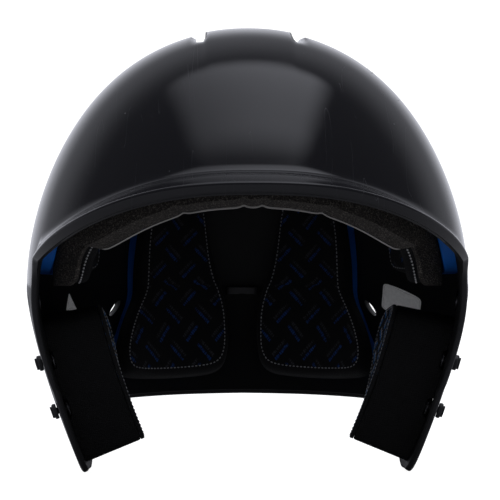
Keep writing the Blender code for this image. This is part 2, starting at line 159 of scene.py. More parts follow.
def brow_rise(azimuth):
    """Height of the brow line over the widest line, where the bill leaves the dome."""
    arch = BILL_ARCH * np.abs(np.sin(azimuth)) ** BILL_ARCH_POWER
    return BILL_EDGE_RISE + BILL_SLOPE_DROP - arch


def bill_share(azimuth):
    """1 along the bill, fading to 0 where the flap's front edge begins."""
    return 1 - smooth((np.abs(np.degrees(azimuth)) - BILL_CORNER) / (BILL_END - BILL_CORNER))


def spline(points, steps):
    """Catmull-Rom curve through points, with a number of steps in each span."""
    points = np.asarray(points, float)
    ends = np.vstack([2 * points[0] - points[1], points, 2 * points[-1] - points[-2]])
    t = np.linspace(0, 1, steps, endpoint=False)[:, None]
    curve = []
    for a, b, c, d in zip(ends, ends[1:], ends[2:], ends[3:]):
        curve.append(0.5 * (2 * b + (c - a) * t + (2 * a - 5 * b + 4 * c - d) * t * t
                            + (3 * b - a - 3 * c + d) * t ** 3))
    return np.vstack([*curve, points[-1:]])


def spaced_places(points, count, crowding=0.0, weight=1.0):
    """Indices, with fractions, of places along a polyline; crowding packs them at both ends."""
    steps = np.linalg.norm(np.diff(points, axis=0), axis=1) * weight
    lengths = np.concatenate([[0], np.cumsum(steps)])
    share = np.linspace(0, 1, count)
    share = share - crowding * np.sin(2 * math.pi * share) / (2 * math.pi)
    return np.interp(share * lengths[-1], lengths, np.arange(len(points)))


def along(values, places):
    """Values read at fractional indices, one column at a time."""
    index = np.arange(len(values))
    return np.stack([np.interp(places, index, column) for column in np.asarray(values).T], axis=-1)


def rim_edge(azimuth, rise):
    """Outer edge of the rim in space, with the bill's reach added."""
    corner = dome(azimuth, polar_at(rise))
    fuller = 1 + BILL_SQUARENESS * np.sin(2 * azimuth) ** 2
    edge = np.stack([BILL_HALF_WIDTH * fuller * np.sin(azimuth),
                     AXIS_Y - BILL_REACH * fuller * np.cos(azimuth),
                     corner[..., 2] - BILL_SLOPE_DROP], axis=-1)
    return corner + (edge - corner) * bill_share(azimuth)[..., None]


def rim_line():
    """The rim's azimuths and rises for one half, front middle to back middle, evenly spaced."""
    bill = np.radians(np.linspace(0, BILL_CORNER, 160, endpoint=False))
    front = np.stack([bill, brow_rise(bill)], axis=-1)
    corner = float(brow_rise(math.radians(BILL_CORNER)))
    before = math.radians(BILL_CORNER - 3)
    knots = [(math.degrees(before), float(brow_rise(before))), (BILL_CORNER, corner)]
    knots += [(degrees, corner - (FLAP_DROP + corner) * share) for degrees, share in FLAP_RIM]
    knots += [(degrees, -NAPE_DROP * share) for degrees, share in NAPE_RIM]
    side = spline(knots, 60)[60:]
    side[:, 0] = np.radians(side[:, 0])
    side[:, 1] = np.maximum(side[:, 1], -FLAP_DROP)
    rim = np.vstack([front, side])
    return along(rim, spaced_places(rim_edge(rim[:, 0], rim[:, 1]), COLUMNS // 2 + 1))


def column(start_azimuth, rim_azimuth, rise):
    """Points from the crown down the dome and out along the bill."""
    polar_end = float(polar_at(rise))
    corner = dome(rim_azimuth, polar_end)
    edge = rim_edge(np.float64(rim_azimuth), np.float64(rise))
    reach = np.linalg.norm(edge - corner)
    fillet = min(BILL_FILLET, 0.45 * reach)
    share = np.linspace(0, 1, 500)
    azimuth = start_azimuth + (rim_azimuth - start_azimuth) * smooth(share)
    path = dome(azimuth, (polar_end - fillet / DOME_RISE) * share)
    weight = np.ones(len(share) - 1)
    if fillet > 1e-6:
        start, end = path[-1], corner + (edge - corner) * fillet / reach
        t = np.linspace(0, 1, CORNER_STEPS + 1)[1:, None]
        bend = start * (1 - t) ** 2 + corner * 2 * t * (1 - t) + end * t * t
        path = np.vstack([path, bend, end + (edge - end) * t])
        weight = np.concatenate([weight, np.full(CORNER_STEPS, CORNER_WEIGHT),
                                 np.full(CORNER_STEPS, BILL_WEIGHT)])
    return along(path, spaced_places(path, ROWS + 1, CROWDING, weight))


BAND_HALF_WIDTH = 0.0222
BAND_FRONT = 0.075                  # from the dome's axis
BAND_HEIGHT = 0.0006
GROOVE_OUTSIDE = 0.0300
GROOVE_DEPTH = 0.0052
GROOVE_ENDS = (-0.046, 0.044)
PANEL_HEIGHT = 0.0009               # the panel that wraps the sides and the back


def groove(points):
    """Depth of the two vent grooves that run beside the crown band."""
    x, y, z = np.abs(points[..., 0]), points[..., 1] - AXIS_Y, points[..., 2] - WIDEST_Z
    inner = smooth((x - BAND_HALF_WIDTH) / 0.0012 + 0.5)
    slope = np.clip((GROOVE_OUTSIDE - x) / (GROOVE_OUTSIDE - BAND_HALF_WIDTH), 0, 1)
    outer = slope * smooth(slope / 0.35)
    ends = smooth((y - GROOVE_ENDS[0]) / 0.022) * smooth((GROOVE_ENDS[1] - y) / 0.022)
    return GROOVE_DEPTH * inner * outer * ends * (z > 0)


def raised(points):
    """Height of the crown band and of the wrap-round panel over the plain dome."""
    x, y, z = np.abs(points[..., 0]), points[..., 1] - AXIS_Y, points[..., 2] - WIDEST_Z
    band_edge = BAND_HALF_WIDTH + 0.004 * smooth((y - 0.03) / 0.07)
    across = smooth((band_edge - x) / 0.0016 + 0.5)
    front = smooth((y + BAND_FRONT) / 0.040)
    down = smooth((z - 0.035) / 0.03)
    panel_front = smooth((y - 0.004 - 0.12 * z) / 0.0022)
    panel_top = smooth((0.098 - 0.2 * y - z) / 0.0022)
    panel_foot = smooth((z + 0.048 + 0.3 * y) / 0.004)
    panel = PANEL_HEIGHT * panel_front * panel_top * panel_foot
    return np.maximum(BAND_HEIGHT * across * front * down, panel)


def shell_grid():
    """The shell's plain outside and its outward normals as grids, columns by rows."""
    number = COLUMNS // 2
    side = np.array([column(math.pi * k / number, azimuth, rise)
                     for k, (azimuth, rise) in enumerate(rim_line())])
    side[0, :, 0] = 0.0
    side[-1, :, 0] = 0.0
    other = side[-2:0:-1] * np.array([-1.0, 1.0, 1.0])
    grid = np.concatenate([side, other])[:, 1:]
    turned = np.roll(grid, -1, axis=0) - np.roll(grid, 1, axis=0)
    down = np.gradient(grid, axis=1)
    normal = np.cross(down, turned)
    normal /= np.linalg.norm(normal, axis=-1, keepdims=True)
    return grid, normal


def link_mesh(name, mesh):
    piece = bpy.data.objects.new(name, mesh)
    bpy.context.scene.collection.objects.link(piece)
    return piece


def solid_from_rings(name, rings, poles=None):
    """Closed mesh from rings of points. Each end closes on a pole, or the last ring joins the first."""
    count, around = rings.shape[0], rings.shape[1]
    points = rings.reshape(-1, 3)
    k = np.arange(around)
    following = (k + 1) % around
    faces = []
    for j in range(count if poles is None else count - 1):
        a, b = j * around, (j + 1) % count * around
        faces += np.stack([a + k, b + k, b + following, a + following], axis=-1).tolist()
    if poles is not None:
        first, last, base = len(points), len(points) + 1, (count - 1) * around
        points = np.vstack([points, poles[0][None], poles[1][None]])
        faces += [[first, i, n] for i, n in zip(k.tolist(), following.tolist())]
        faces += [[last, base + n, base + i] for i, n in zip(k.tolist(), following.tolist())]
    mesh = bpy.data.meshes.new(name)
    mesh.from_pydata(points.tolist(), [], faces)
    mesh.update()
    bm = bmesh.new()
    bm.from_mesh(mesh)
    bmesh.ops.recalc_face_normals(bm, faces=bm.faces)
    bm.to_mesh(mesh)
    bm.free()
    return link_mesh(name, mesh)


def make_shell():
    grid, normal = shell_grid()
    wall = np.full(grid.shape[:2], SHELL_WALL)
    rim_reach = np.linalg.norm(grid[:, -1, :2] - np.array([0, AXIS_Y]), axis=-1)
    bill = smooth((rim_reach - 0.112) / 0.03)[:, None]
    from_edge = np.linalg.norm(grid - grid[:, -1:], axis=-1)
    wall = wall + LIP_EXTRA * bill * smooth(1 - from_edge / LIP_WIDTH)
    bead = BEAD_HEIGHT * bill * smooth((BEAD_WIDTH - from_edge) / 0.0014)
    outer = grid + normal * (raised(grid) + bead - groove(grid))[..., None]
    inner = grid - normal * (wall + groove(grid))[..., None]
    edge, edge_normal, edge_wall = outer[:, -1], normal[:, -1], wall[:, -1]
    along_rim = np.roll(edge, -1, axis=0) - np.roll(edge, 1, axis=0)
    outward = np.cross(edge_normal, along_rim)
    outward /= np.linalg.norm(outward, axis=-1, keepdims=True)
    outward *= np.sign(np.sum(outward * (edge - grid[:, -2]), axis=-1))[:, None]
    rounding = [(math.sin(turn), 1 - math.cos(turn)) for turn in np.radians(np.linspace(15, 90, 6))]
    rings = [outer[:, j] for j in range(ROWS)]
    for reach, sink in rounding:
        rings.append(edge + RIM_ROUND * (outward * reach - edge_normal * sink))
    low = edge - edge_normal * edge_wall[:, None]
    for reach, sink in reversed(rounding):
        rings.append(low + RIM_ROUND * (outward * reach + edge_normal * sink))
    rings += [inner[:, j] for j in range(ROWS - 1, -1, -1)]
    crown = np.array([0, AXIS_Y, WIDEST_Z + DOME_RISE])
    poles = (crown + np.array([0, 0, BAND_HEIGHT]), crown - np.array([0, 0, SHELL_WALL]))
    return solid_from_rings("helmet_shell", np.array(rings), poles)


def mark_inside(piece):
    """Attribute that is 1 on the inner face, read by the shell's material: there it is unpolished, and
    painted darker as shade.
    """
    count = len(piece.data.vertices)
    spots, normals = np.empty(count * 3, np.float32), np.empty(count * 3, np.float32)
    piece.data.vertices.foreach_get("co", spots)
    piece.data.vertices.foreach_get("normal", normals)
    outwards = spots.reshape(-1, 3) - np.array([0, AXIS_Y, WIDEST_Z])
    outwards[:, 2] = np.maximum(outwards[:, 2], 0) * 1.2
    facing = np.sum(outwards * normals.reshape(-1, 3), axis=1)
    inner = piece.data.attributes.new("inner_face", "FLOAT", "POINT")
    inner.data.foreach_set("value", (facing < 0).astype(np.float32))


def prism(name, outline, place, across, up, axis, reach):
    """Closed cutter: an outline in the plane of two directions, pushed both ways along an axis."""
    bm = bmesh.new()
    ends = []
    for distance in (-reach, reach):
        ends.append([bm.verts.new(place + axis * distance + across * x + up * y) for x, y in outline])
    count = len(outline)
    for k in range(count):
        following = (k + 1) % count
        bm.faces.new((ends[0][k], ends[0][following], ends[1][following], ends[1][k]))
    bm.faces.new(ends[0])
    bm.faces.new(ends[1])
    bmesh.ops.recalc_face_normals(bm, faces=bm.faces)
    mesh = bpy.data.meshes.new(name)
    bm.to_mesh(mesh)
    bm.free()
    return link_mesh(name, mesh)


def oval(half_length, half_height, tilt, sides=64):
    """Outline of an oval hole."""
    spots = []
    for k in range(sides):
        x = half_length * math.cos(2 * math.pi * k / sides)
        y = half_height * math.sin(2 * math.pi * k / sides)
        spots.append((x * math.cos(tilt) - y * math.sin(tilt), x * math.sin(tilt) + y * math.cos(tilt)))
    return spots


def wall_place(azimuth_degrees, rise, depth=0.0):
    """Point and outward normal on the wall, as vectors."""
    azimuth, polar = np.float64(math.radians(azimuth_degrees)), polar_at(rise)
    return Vector(inside(azimuth, polar, depth)), Vector(dome_normal(azimuth, polar))


def apply_modifiers(piece):
    """Turn what a piece's modifiers make into its own plain mesh."""
    shown = bpy.context.evaluated_depsgraph_get()
    mesh = bpy.data.meshes.new_from_object(piece.evaluated_get(shown))
    piece.modifiers.clear()
    old = piece.data
    piece.data = mesh
    bpy.data.meshes.remove(old)


def cut_all(piece, cutters):
    for cutter in cutters:
        boolean = piece.modifiers.new(cutter.name, "BOOLEAN")
        boolean.operation = "DIFFERENCE"
        boolean.solver = "MANIFOLD"
        boolean.object = cutter
    apply_modifiers(piece)
    for cutter in cutters:
        bpy.data.objects.remove(cutter)


EAR_AZIMUTH, EAR_DROP = 94.0, 0.046
EAR_HOLE = (0.018, 0.020)
VENT_AZIMUTH, VENT_DROP = 139.0, 0.013
VENT = (0.0062, 0.0016)
VENT_TILT = math.radians(42)         # the long way rises towards the back
SLOT_X, SLOT_HALF_WIDTH = 0.0248, 0.0018
SLOT_ENDS = (-0.040, 0.030)         # from the dome's axis


def shell_cutters():
    """Cutters for the ear hole, the rear vent and the crown slot on each side."""
    cutters = []
    upright = Vector((0, 0, 1))
    for _, side in SIDES:
        for label, azimuth, drop, size, tilt in (("ear", EAR_AZIMUTH, EAR_DROP, EAR_HOLE, 0.0),
                                                 ("vent", VENT_AZIMUTH, VENT_DROP, VENT, VENT_TILT)):
            point, normal = wall_place(side * azimuth, -drop)
            axis = Vector((normal.x, normal.y, 0)).normalized()
            across = Vector((-axis.y, axis.x, 0))
            outline = oval(*size, side * tilt)
            cutters.append(prism(label + "_cutter", outline, point, across, upright, axis, 0.012))
        front, back = SLOT_ENDS
        outline = []
        for centre, start in ((back - SLOT_HALF_WIDTH, 0.0), (front + SLOT_HALF_WIDTH, math.pi)):
            for k in range(13):
                turn = start + math.pi * k / 12
                outline.append((SLOT_HALF_WIDTH * math.cos(turn),
                                centre + SLOT_HALF_WIDTH * math.sin(turn)))
        place = Vector((side * SLOT_X, AXIS_Y, WIDEST_Z + DOME_RISE))
        cutters.append(prism("slot_cutter", outline, place, Vector((1, 0, 0)), Vector((0, 1, 0)),
                             upright, 0.04))
    return cutters


shell = make_shell()
cut_all(shell, shell_cutters())
mark_inside(shell)
shell.data.shade_smooth()
shell.data.set_sharp_from_angle(angle=math.radians(38))


def add_node(tree, kind, inputs=None, **settings):
    """Node with its settings; each input takes a number or the socket that feeds it."""
    made = tree.nodes.new(kind)
    for name, value in settings.items():
        setattr(made, name, value)
    for key, value in (inputs or {}).items():
        if isinstance(value, bpy.types.NodeSocket):
            tree.links.new(value, made.inputs[key])
        else:
            made.inputs[key].default_value = value
    return made


def calc(tree, operation, *values):
    return add_node(tree, "ShaderNodeMath", dict(enumerate(values)), operation=operation).outputs[0]


def ease(tree, value, start, end):
    """0 before start, 1 after end, smooth between; start may be the larger one."""
    inputs = {"Value": value, "From Min": start, "From Max": end}
    return add_node(tree, "ShaderNodeMapRange", inputs, interpolation_type="SMOOTHSTEP").outputs[0]


def blend_colours(tree, factor, first, second):
    inputs = {0: factor}
    for key, colour in ((6, first), (7, second)):
        inputs[key] = colour if isinstance(colour, bpy.types.NodeSocket) else (*colour, 1.0)
    return add_node(tree, "ShaderNodeMix", inputs, data_type="RGBA").outputs[2]


def noise(tree, vector, scale, detail=2.0):
    inputs = {"Vector": vector, "Scale": scale, "Detail": detail}
    return add_node(tree, "ShaderNodeTexNoise", inputs).outputs["Fac"]


def new_group(name, inputs, outputs):
    """Shader node group with named sockets; returns its tree, its inputs and its output node."""
    tree = bpy.data.node_groups.new(name, "ShaderNodeTree")
    for socket, value in inputs:
        kind = "NodeSocketVector" if value is None else "NodeSocketFloat"
        made = tree.interface.new_socket(socket, in_out="INPUT", socket_type=kind)
        if value is not None:
            made.default_value = value
    for socket in outputs:
        tree.interface.new_socket(socket, in_out="OUTPUT", socket_type="NodeSocketFloat")
    return tree, tree.nodes.new("NodeGroupInput").outputs, tree.nodes.new("NodeGroupOutput")


def use_group(tree, group, inputs):
    return add_node(tree, "ShaderNodeGroup", inputs, node_tree=group).outputs


def bump(tree, shader, height, strength, distance):
    inputs = {"Height": height, "Strength": strength, "Distance": distance}
    made = add_node(tree, "ShaderNodeBump", inputs)
    tree.links.new(made.outputs["Normal"], shader.inputs["Normal"])


def new_material(name, colour, roughness, metallic=0.0):
    """Material with a Principled shader; returns the material, its node tree and the shader."""
    made = bpy.data.materials.new(name)
    made.use_nodes = True
    tree = made.node_tree
    shader = tree.nodes["Principled BSDF"]
    shader.inputs["Base Color"].default_value = (*colour, 1.0)
    shader.inputs["Roughness"].default_value = roughness
    shader.inputs["Metallic"].default_value = metallic
    return made, tree, shader


def make_scratch_group():
    """Hairline scratches in three directions; they come in patches, as handling leaves them."""
    tree, given, result = new_group("hairline_scratches", (("Vector", None), ("Width", 0.004)),
                                    ("Scratches",))
    total = 0.0
    for turn, seed in ((0.4, 0.0), (1.5, 3.1), (2.5, 7.7)):
        inputs = {"Vector": given["Vector"], "Rotation": (0.3 * turn, 0.2, turn),
                  "Location": (seed, seed, seed), "Scale": (260.0, 9.0, 30.0)}
        mapped = add_node(tree, "ShaderNodeMapping", inputs).outputs[0]
        level = calc(tree, "ABSOLUTE", calc(tree, "SUBTRACT", noise(tree, mapped, 1.0, 0.0), 0.5))
        line = calc(tree, "LESS_THAN", level, given["Width"])
        patch = ease(tree, noise(tree, mapped, 0.35, 1.0), 0.60, 0.70)
        total = calc(tree, "ADD", total, calc(tree, "MULTIPLY", line, patch))
    tree.links.new(calc(tree, "MINIMUM", total, 1.0), result.inputs["Scratches"])
    return tree


def make_dust_group():
    """Sparse round specks of dust and lint."""
    tree, given, result = new_group("dust_specks", (("Vector", None), ("Per metre", 260.0),
                                                    ("Share", 0.12)), ("Dust",))
    cell = add_node(tree, "ShaderNodeTexVoronoi", {"Vector": given["Vector"],
                                                   "Scale": given["Per metre"]})
    chance = add_node(tree, "ShaderNodeSeparateColor", {0: cell.outputs["Color"]})
    size = calc(tree, "MULTIPLY", chance.outputs["Green"], 0.09)
    speck = calc(tree, "LESS_THAN", cell.outputs["Distance"], calc(tree, "ADD", size, 0.02))
    chosen = calc(tree, "LESS_THAN", chance.outputs["Red"], given["Share"])
    tree.links.new(calc(tree, "MULTIPLY", speck, chosen), result.inputs["Dust"])
    return tree


scratches = make_scratch_group()
dust = make_dust_group()


def object_place(tree):
    return add_node(tree, "ShaderNodeTexCoord").outputs["Object"]


def make_gloss_black():
    """Polished black plastic with hairlines, specks and smudges; its inner face is unpolished and
    painted darker as shade.
    """
    black = (0.0060, 0.0060, 0.0075)
    made, tree, shader = new_material("gloss_black_abs", black, 0.10)
    place = object_place(tree)
    marks = use_group(tree, scratches, {"Vector": place, "Width": 0.0035})["Scratches"]
    specks = use_group(tree, dust, {"Vector": place, "Per metre": 230.0, "Share": 0.05})["Dust"]
    smudge = ease(tree, noise(tree, place, 38.0, 4.0), 0.45, 0.75)
    colour = blend_colours(tree, calc(tree, "MULTIPLY", marks, 0.5), black, (0.045, 0.045, 0.05))
    colour = blend_colours(tree, calc(tree, "MULTIPLY", specks, 0.55), colour, (0.16, 0.16, 0.17))
    rough = calc(tree, "ADD", calc(tree, "MULTIPLY", marks, 0.25), calc(tree, "MULTIPLY", smudge, 0.05))
    rough = calc(tree, "ADD", rough, calc(tree, "MULTIPLY", specks, 0.4))
    rough = calc(tree, "ADD", rough, 0.095)
    unpolished_and_shaded = add_node(tree, "ShaderNodeAttribute", attribute_name="inner_face").outputs["Fac"]
    rough = calc(tree, "MULTIPLY_ADD", unpolished_and_shaded, calc(tree, "SUBTRACT", 0.62, rough), rough)
    tree.links.new(rough, shader.inputs["Roughness"])
    # Painted shade: the inner face, inside the cavity, is coloured darker than the outside.
    colour = blend_colours(tree, unpolished_and_shaded, colour, (0.0025, 0.0025, 0.003))
    tree.links.new(colour, shader.inputs["Base Color"])
    waviness = noise(tree, place, 55.0, 1.0)
    height = calc(tree, "ADD", waviness, calc(tree, "MULTIPLY", marks, -0.04))
    bump(tree, shader, height, 0.10, 0.0006)
    return made


def finish_piece(piece, material, slot, *nodes):
    """Give a piece its material and the body it rides on; the slot is not used."""
    piece.data.materials.clear()
    piece.data.materials.append(material)
    if nodes:
        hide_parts(*nodes)
    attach(piece, "root")


finish_piece(shell, make_gloss_black(), "gloss_black", "shell")


# ---- Brow band -----------------------------------------------------------------------------------
# A strip of open-cell foam, 11.5 mm thick, glued along the forehead. A knitted strip covers its inner
# face, and the raw white edge of that strip shows along the bottom, where it was snipped in four places.

GLUE_GAP = 0.0010
LAYER_GAP = 0.0010
LINING = SHELL_WALL + GLUE_GAP
BROW_THICK = 0.0115
BROW_LOW, BROW_HIGH = 0.0445, 0.079  # over the widest line
BROW_ARCH = 0.061
BROW_SPAN = 50.0                     # degrees either side of the middle
BROW_SNIPS = (-20.5, -2.7, 2.7, 20.5)
SNIP_HEIGHT, SNIP_WIDTH = 0.0016, 1.1    # metres, degrees
FACING_THICK = 0.0012
BROW_POINTS = {"around": 520, "rings": 20}
CORNER_POWER = 9.0                   # how square a pad's corners are
POCKET_ROOM = 0.0003                 # round the backs of the vent grooves


def read_table(table, value):
    """Value between the (key, value) pairs of a table, with its bends rounded off."""
    keys, values = zip(*table)
    spread = np.linspace(-0.005, 0.005, 5)
    return sum(np.interp(value + shift, keys, values) for shift in spread) / len(spread)


def patch_place(low, high, front, back, roundness=0.35, arch=0.0, snips=()):
    """Function from shares across and up a patch, -1 to 1, to azimuth and rise."""
    def place(u, v, depth):
        across = u * np.sqrt(1 - roundness * v * v / 2)
        up = v * np.sqrt(1 - roundness * u * u / 2)
        rise = low + (high - low) * (up + 1) / 2
        first, last = read_table(front, rise), read_table(back, rise)
        degrees = first + (last - first) * (across + 1) / 2
        for snip in snips:
            rise = rise + SNIP_HEIGHT * np.exp(-np.abs(degrees - snip) / SNIP_WIDTH) * (v < -0.6)
        azimuth = np.radians(degrees)
        return azimuth, rise - arch * np.abs(np.sin(azimuth)) ** BILL_ARCH_POWER
    return place


def squared_ring(around):
    """Shares across and up at even turns round the border of a patch with rounded corners."""
    turn = 2 * math.pi * (np.arange(around) + 0.5) / around
    across, up = np.cos(turn), np.sin(turn)
    reach = (np.abs(across) ** CORNER_POWER + np.abs(up) ** CORNER_POWER) ** (-1 / CORNER_POWER)
    return reach * across, reach * up


def rounded_level(border, top, rounding):
    """Depth of a pad's open face, which rounds down to its border."""
    part = 1 - np.minimum(border / rounding, 1.0)
    return top - rounding + rounding * np.sqrt(1 - part ** 2)


def steps_between(start, end, shares):
    """Rings that lead straight from one ring of points to another."""
    return np.array([start + (end - start) * share for share in shares])


def pad_rings(place, side, depth, thickness, rounding, puff, around, rings, relief=None):
    """Rings of points for a pad on the wall: its open face, its border wall and its glued face.

    Returns the rings, each point's azimuth, rise and distance to the border, and the open face's
    own rings with those distances, for the seams.
    """
    u, v = squared_ring(around)
    share = np.sin(np.linspace(0, math.pi / 2, rings + 1))[1:, None]
    azimuth, rise = place(u * share, v * share, depth + thickness)
    back_azimuth, back_rise = place(u * share, v * share, depth)
    front = inside(azimuth * side, polar_at(rise), np.full(azimuth.shape, depth + thickness))
    back = inside(back_azimuth * side, polar_at(back_rise), np.full(azimuth.shape, depth))
    steps = np.linalg.norm(np.diff(front, axis=0), axis=-1)
    border = np.vstack([np.cumsum(steps[::-1], axis=0)[::-1], np.zeros((1, around))])
    swell = puff * (1 - share ** 4)
    level = rounded_level(border, depth + thickness, rounding)
    open_face = inside(azimuth * side, polar_at(rise), level + swell)
    dent = groove(back) * 1.1
    dent = np.where(dent > 1e-5, dent + POCKET_ROOM, 0.0)
    if relief:
        dent = dent + relief(np.degrees(back_azimuth), back_rise)
    glued = inside(back_azimuth * side, polar_at(back_rise), depth + dent)
    walls = steps_between(open_face[-1], glued[-1], (0.15, 0.5, 0.85))
    points = np.vstack([open_face, walls, glued[::-1]])
    cloth = np.stack([azimuth, rise, border], axis=-1)
    edge_cloth = np.repeat(cloth[-1:], len(walls), axis=0)
    return points, np.vstack([cloth, edge_cloth, cloth[::-1]]), (open_face, border)


PATTERN_RADIUS = 0.110               # turns azimuth into a length along the wall
FAR_IN = 0.02                        # border distance given to the middle of a face


def make_pad(name, place, side, depth, thickness, rounding, puff=0.0, around=160, rings=16,
             relief=None):
    """Closed pad on the wall, and the rings that its seam can follow."""
    points, cloth, seam = pad_rings(place, side, depth, thickness, rounding, puff, around, rings, relief)
    poles, middles = [], []
    for level, swell in ((depth + thickness, puff), (depth, 0.0)):
        azimuth, rise = np.ravel(place(np.zeros(1), np.zeros(1), level))
        poles.append(inside(azimuth * side, polar_at(rise), level + swell))
        middles.append([azimuth, rise, FAR_IN])
    piece = solid_from_rings(name, points, poles)
    store_cloth(piece, np.vstack([cloth.reshape(-1, 3), middles]))
    return piece, seam


def store_cloth(piece, cloth):
    """Keep the "cloth" attribute: lengths across and up the wall, and the distance to the border."""
    lengths = cloth * np.array([PATTERN_RADIUS, 1.0, 1.0])
    held = piece.data.attributes.new("cloth", "FLOAT_VECTOR", "POINT")
    held.data.foreach_set("vector", lengths.astype(np.float32).ravel())
    piece.data.shade_smooth()
    piece.data.set_sharp_from_angle(angle=math.radians(50))


def cloth_place(tree):
    """The cloth attribute: its vector, and the distance to the piece's border."""
    held = add_node(tree, "ShaderNodeAttribute", attribute_name="cloth").outputs["Vector"]
    return held, add_node(tree, "ShaderNodeSeparateXYZ", {0: held}).outputs["Z"]


def make_pore_group():
    """Pores of an open foam: Pores is 1 inside a hole, Walls is 1 on a lit cell wall."""
    tree, given, result = new_group("foam_pores", (("Vector", None), ("Per metre", 1100.0)),
                                    ("Pores", "Walls", "Height"))
    bent = add_node(tree, "ShaderNodeVectorMath", {0: given["Vector"]}, operation="ADD")
    wander = add_node(tree, "ShaderNodeTexNoise", {"Vector": given["Vector"], "Scale": 900.0})
    shrunk = add_node(tree, "ShaderNodeVectorMath", {0: wander.outputs["Color"], "Scale": 0.0006},
                      operation="SCALE")
    tree.links.new(shrunk.outputs[0], bent.inputs[1])
    cells = add_node(tree, "ShaderNodeTexVoronoi", {"Vector": bent.outputs[0],
                                                    "Scale": given["Per metre"]})
    fine = noise(tree, given["Vector"], calc(tree, "MULTIPLY", given["Per metre"], 1.7), 2.0)
    tree.links.new(ease(tree, cells.outputs["Distance"], 0.42, 0.12), result.inputs["Pores"])
    walls = calc(tree, "MULTIPLY", ease(tree, cells.outputs["Distance"], 0.45, 0.75),
                 ease(tree, fine, 0.45, 0.62))
    tree.links.new(walls, result.inputs["Walls"])
    tree.links.new(cells.outputs["Distance"], result.inputs["Height"])
    return tree


pores = make_pore_group()


def make_open_foam():
    """Dark open-cell foam: its deep pores are painted dark as shade, and a few cell walls pale as
    painted highlights.
    """
    made, tree, shader = new_material("open_cell_foam", (0.07, 0.06, 0.052), 0.95)
    place = object_place(tree)
    cells = use_group(tree, pores, {"Vector": place, "Per metre": 1250.0})
    # Painted shade inside the pores, then a painted highlight on the lit cell walls.
    colour = blend_colours(tree, cells["Pores"], (0.052, 0.046, 0.040), (0.007, 0.006, 0.005))
    colour = blend_colours(tree, cells["Walls"], colour, (0.26, 0.235, 0.20))
    patchy = ease(tree, noise(tree, place, 160.0, 2.0), 0.35, 0.7)
    colour = blend_colours(tree, calc(tree, "MULTIPLY", patchy, 0.35), colour, (0.035, 0.030, 0.027))
    tree.links.new(colour, shader.inputs["Base Color"])
    bump(tree, shader, cells["Height"], 0.9, 0.0007)
    return made


def make_knit_group():
    """Fine knit: a height, and a painted shade that is darker between the threads."""
    tree, given, result = new_group("knit", (("Vector", None), ("Pitch", 0.0009)),
                                    ("Height", "Shade"))
    apart = add_node(tree, "ShaderNodeSeparateXYZ", {0: given["Vector"]}).outputs
    wave = [calc(tree, "SINE", calc(tree, "MULTIPLY", calc(tree, "DIVIDE", apart[axis], given["Pitch"]),
                                    2 * math.pi)) for axis in ("X", "Y")]
    cross = calc(tree, "MULTIPLY", *wave)
    fuzz = noise(tree, given["Vector"], 2600.0, 2.0)
    tree.links.new(calc(tree, "ADD", calc(tree, "MULTIPLY", cross, 0.5), fuzz), result.inputs["Height"])
    tree.links.new(ease(tree, calc(tree, "ADD", calc(tree, "MULTIPLY", cross, 0.25), fuzz), 0.3, 0.9),
                   result.inputs["Shade"])
    return tree


def make_dash_group():
    """Printed dashes in a basket weave: pairs of short broken lines, laid crosswise in turn."""
    tree, given, result = new_group("dash_print", (("Vector", None), ("Cell", 0.0155),
                                                   ("Weight", 0.05)), ("First", "Second"))
    apart = add_node(tree, "ShaderNodeSeparateXYZ", {0: given["Vector"]}).outputs
    tilt = math.sqrt(0.5)
    cell = calc(tree, "DIVIDE", tilt, given["Cell"])
    a = calc(tree, "MULTIPLY", calc(tree, "ADD", apart["X"], apart["Y"]), cell)
    b = calc(tree, "MULTIPLY", calc(tree, "SUBTRACT", apart["Y"], apart["X"]), cell)
    row, column_number = calc(tree, "FLOOR", a), calc(tree, "FLOOR", b)
    turned_cell = calc(tree, "FLOORED_MODULO", calc(tree, "ADD", row, column_number), 2.0)
    a, b = calc(tree, "FRACT", a), calc(tree, "FRACT", b)
    gap = calc(tree, "SUBTRACT", b, a)
    lengthwise = calc(tree, "MULTIPLY_ADD", gap, turned_cell, a)
    crosswise = calc(tree, "SUBTRACT", calc(tree, "ADD", a, b), lengthwise)
    from_middle = calc(tree, "ABSOLUTE", calc(tree, "SUBTRACT", lengthwise, 0.5))
    ends = calc(tree, "LESS_THAN", from_middle, 0.42)
    steps = calc(tree, "MULTIPLY", lengthwise, 10.0)
    cell_seed = calc(tree, "MULTIPLY_ADD", row, 17.0, calc(tree, "MULTIPLY", column_number, 31.0))
    seed = calc(tree, "ADD", calc(tree, "FLOOR", steps), cell_seed)
    chance = add_node(tree, "ShaderNodeTexWhiteNoise", {"W": seed}, noise_dimensions="1D").outputs[0]
    mark = calc(tree, "LESS_THAN", calc(tree, "FRACT", steps),
                calc(tree, "MULTIPLY_ADD", chance, 0.35, 0.5))
    for name, middle in (("First", 0.39), ("Second", 0.61)):
        off = calc(tree, "ABSOLUTE", calc(tree, "SUBTRACT", crosswise, middle))
        line = calc(tree, "LESS_THAN", off, calc(tree, "MULTIPLY", given["Weight"],
                                                 calc(tree, "MULTIPLY_ADD", chance, 0.5, 0.6)))
        line = calc(tree, "MULTIPLY", calc(tree, "MULTIPLY", line, mark), ends)
        tree.links.new(line, result.inputs[name])
    return tree


knit = make_knit_group()
dashes = make_dash_group()


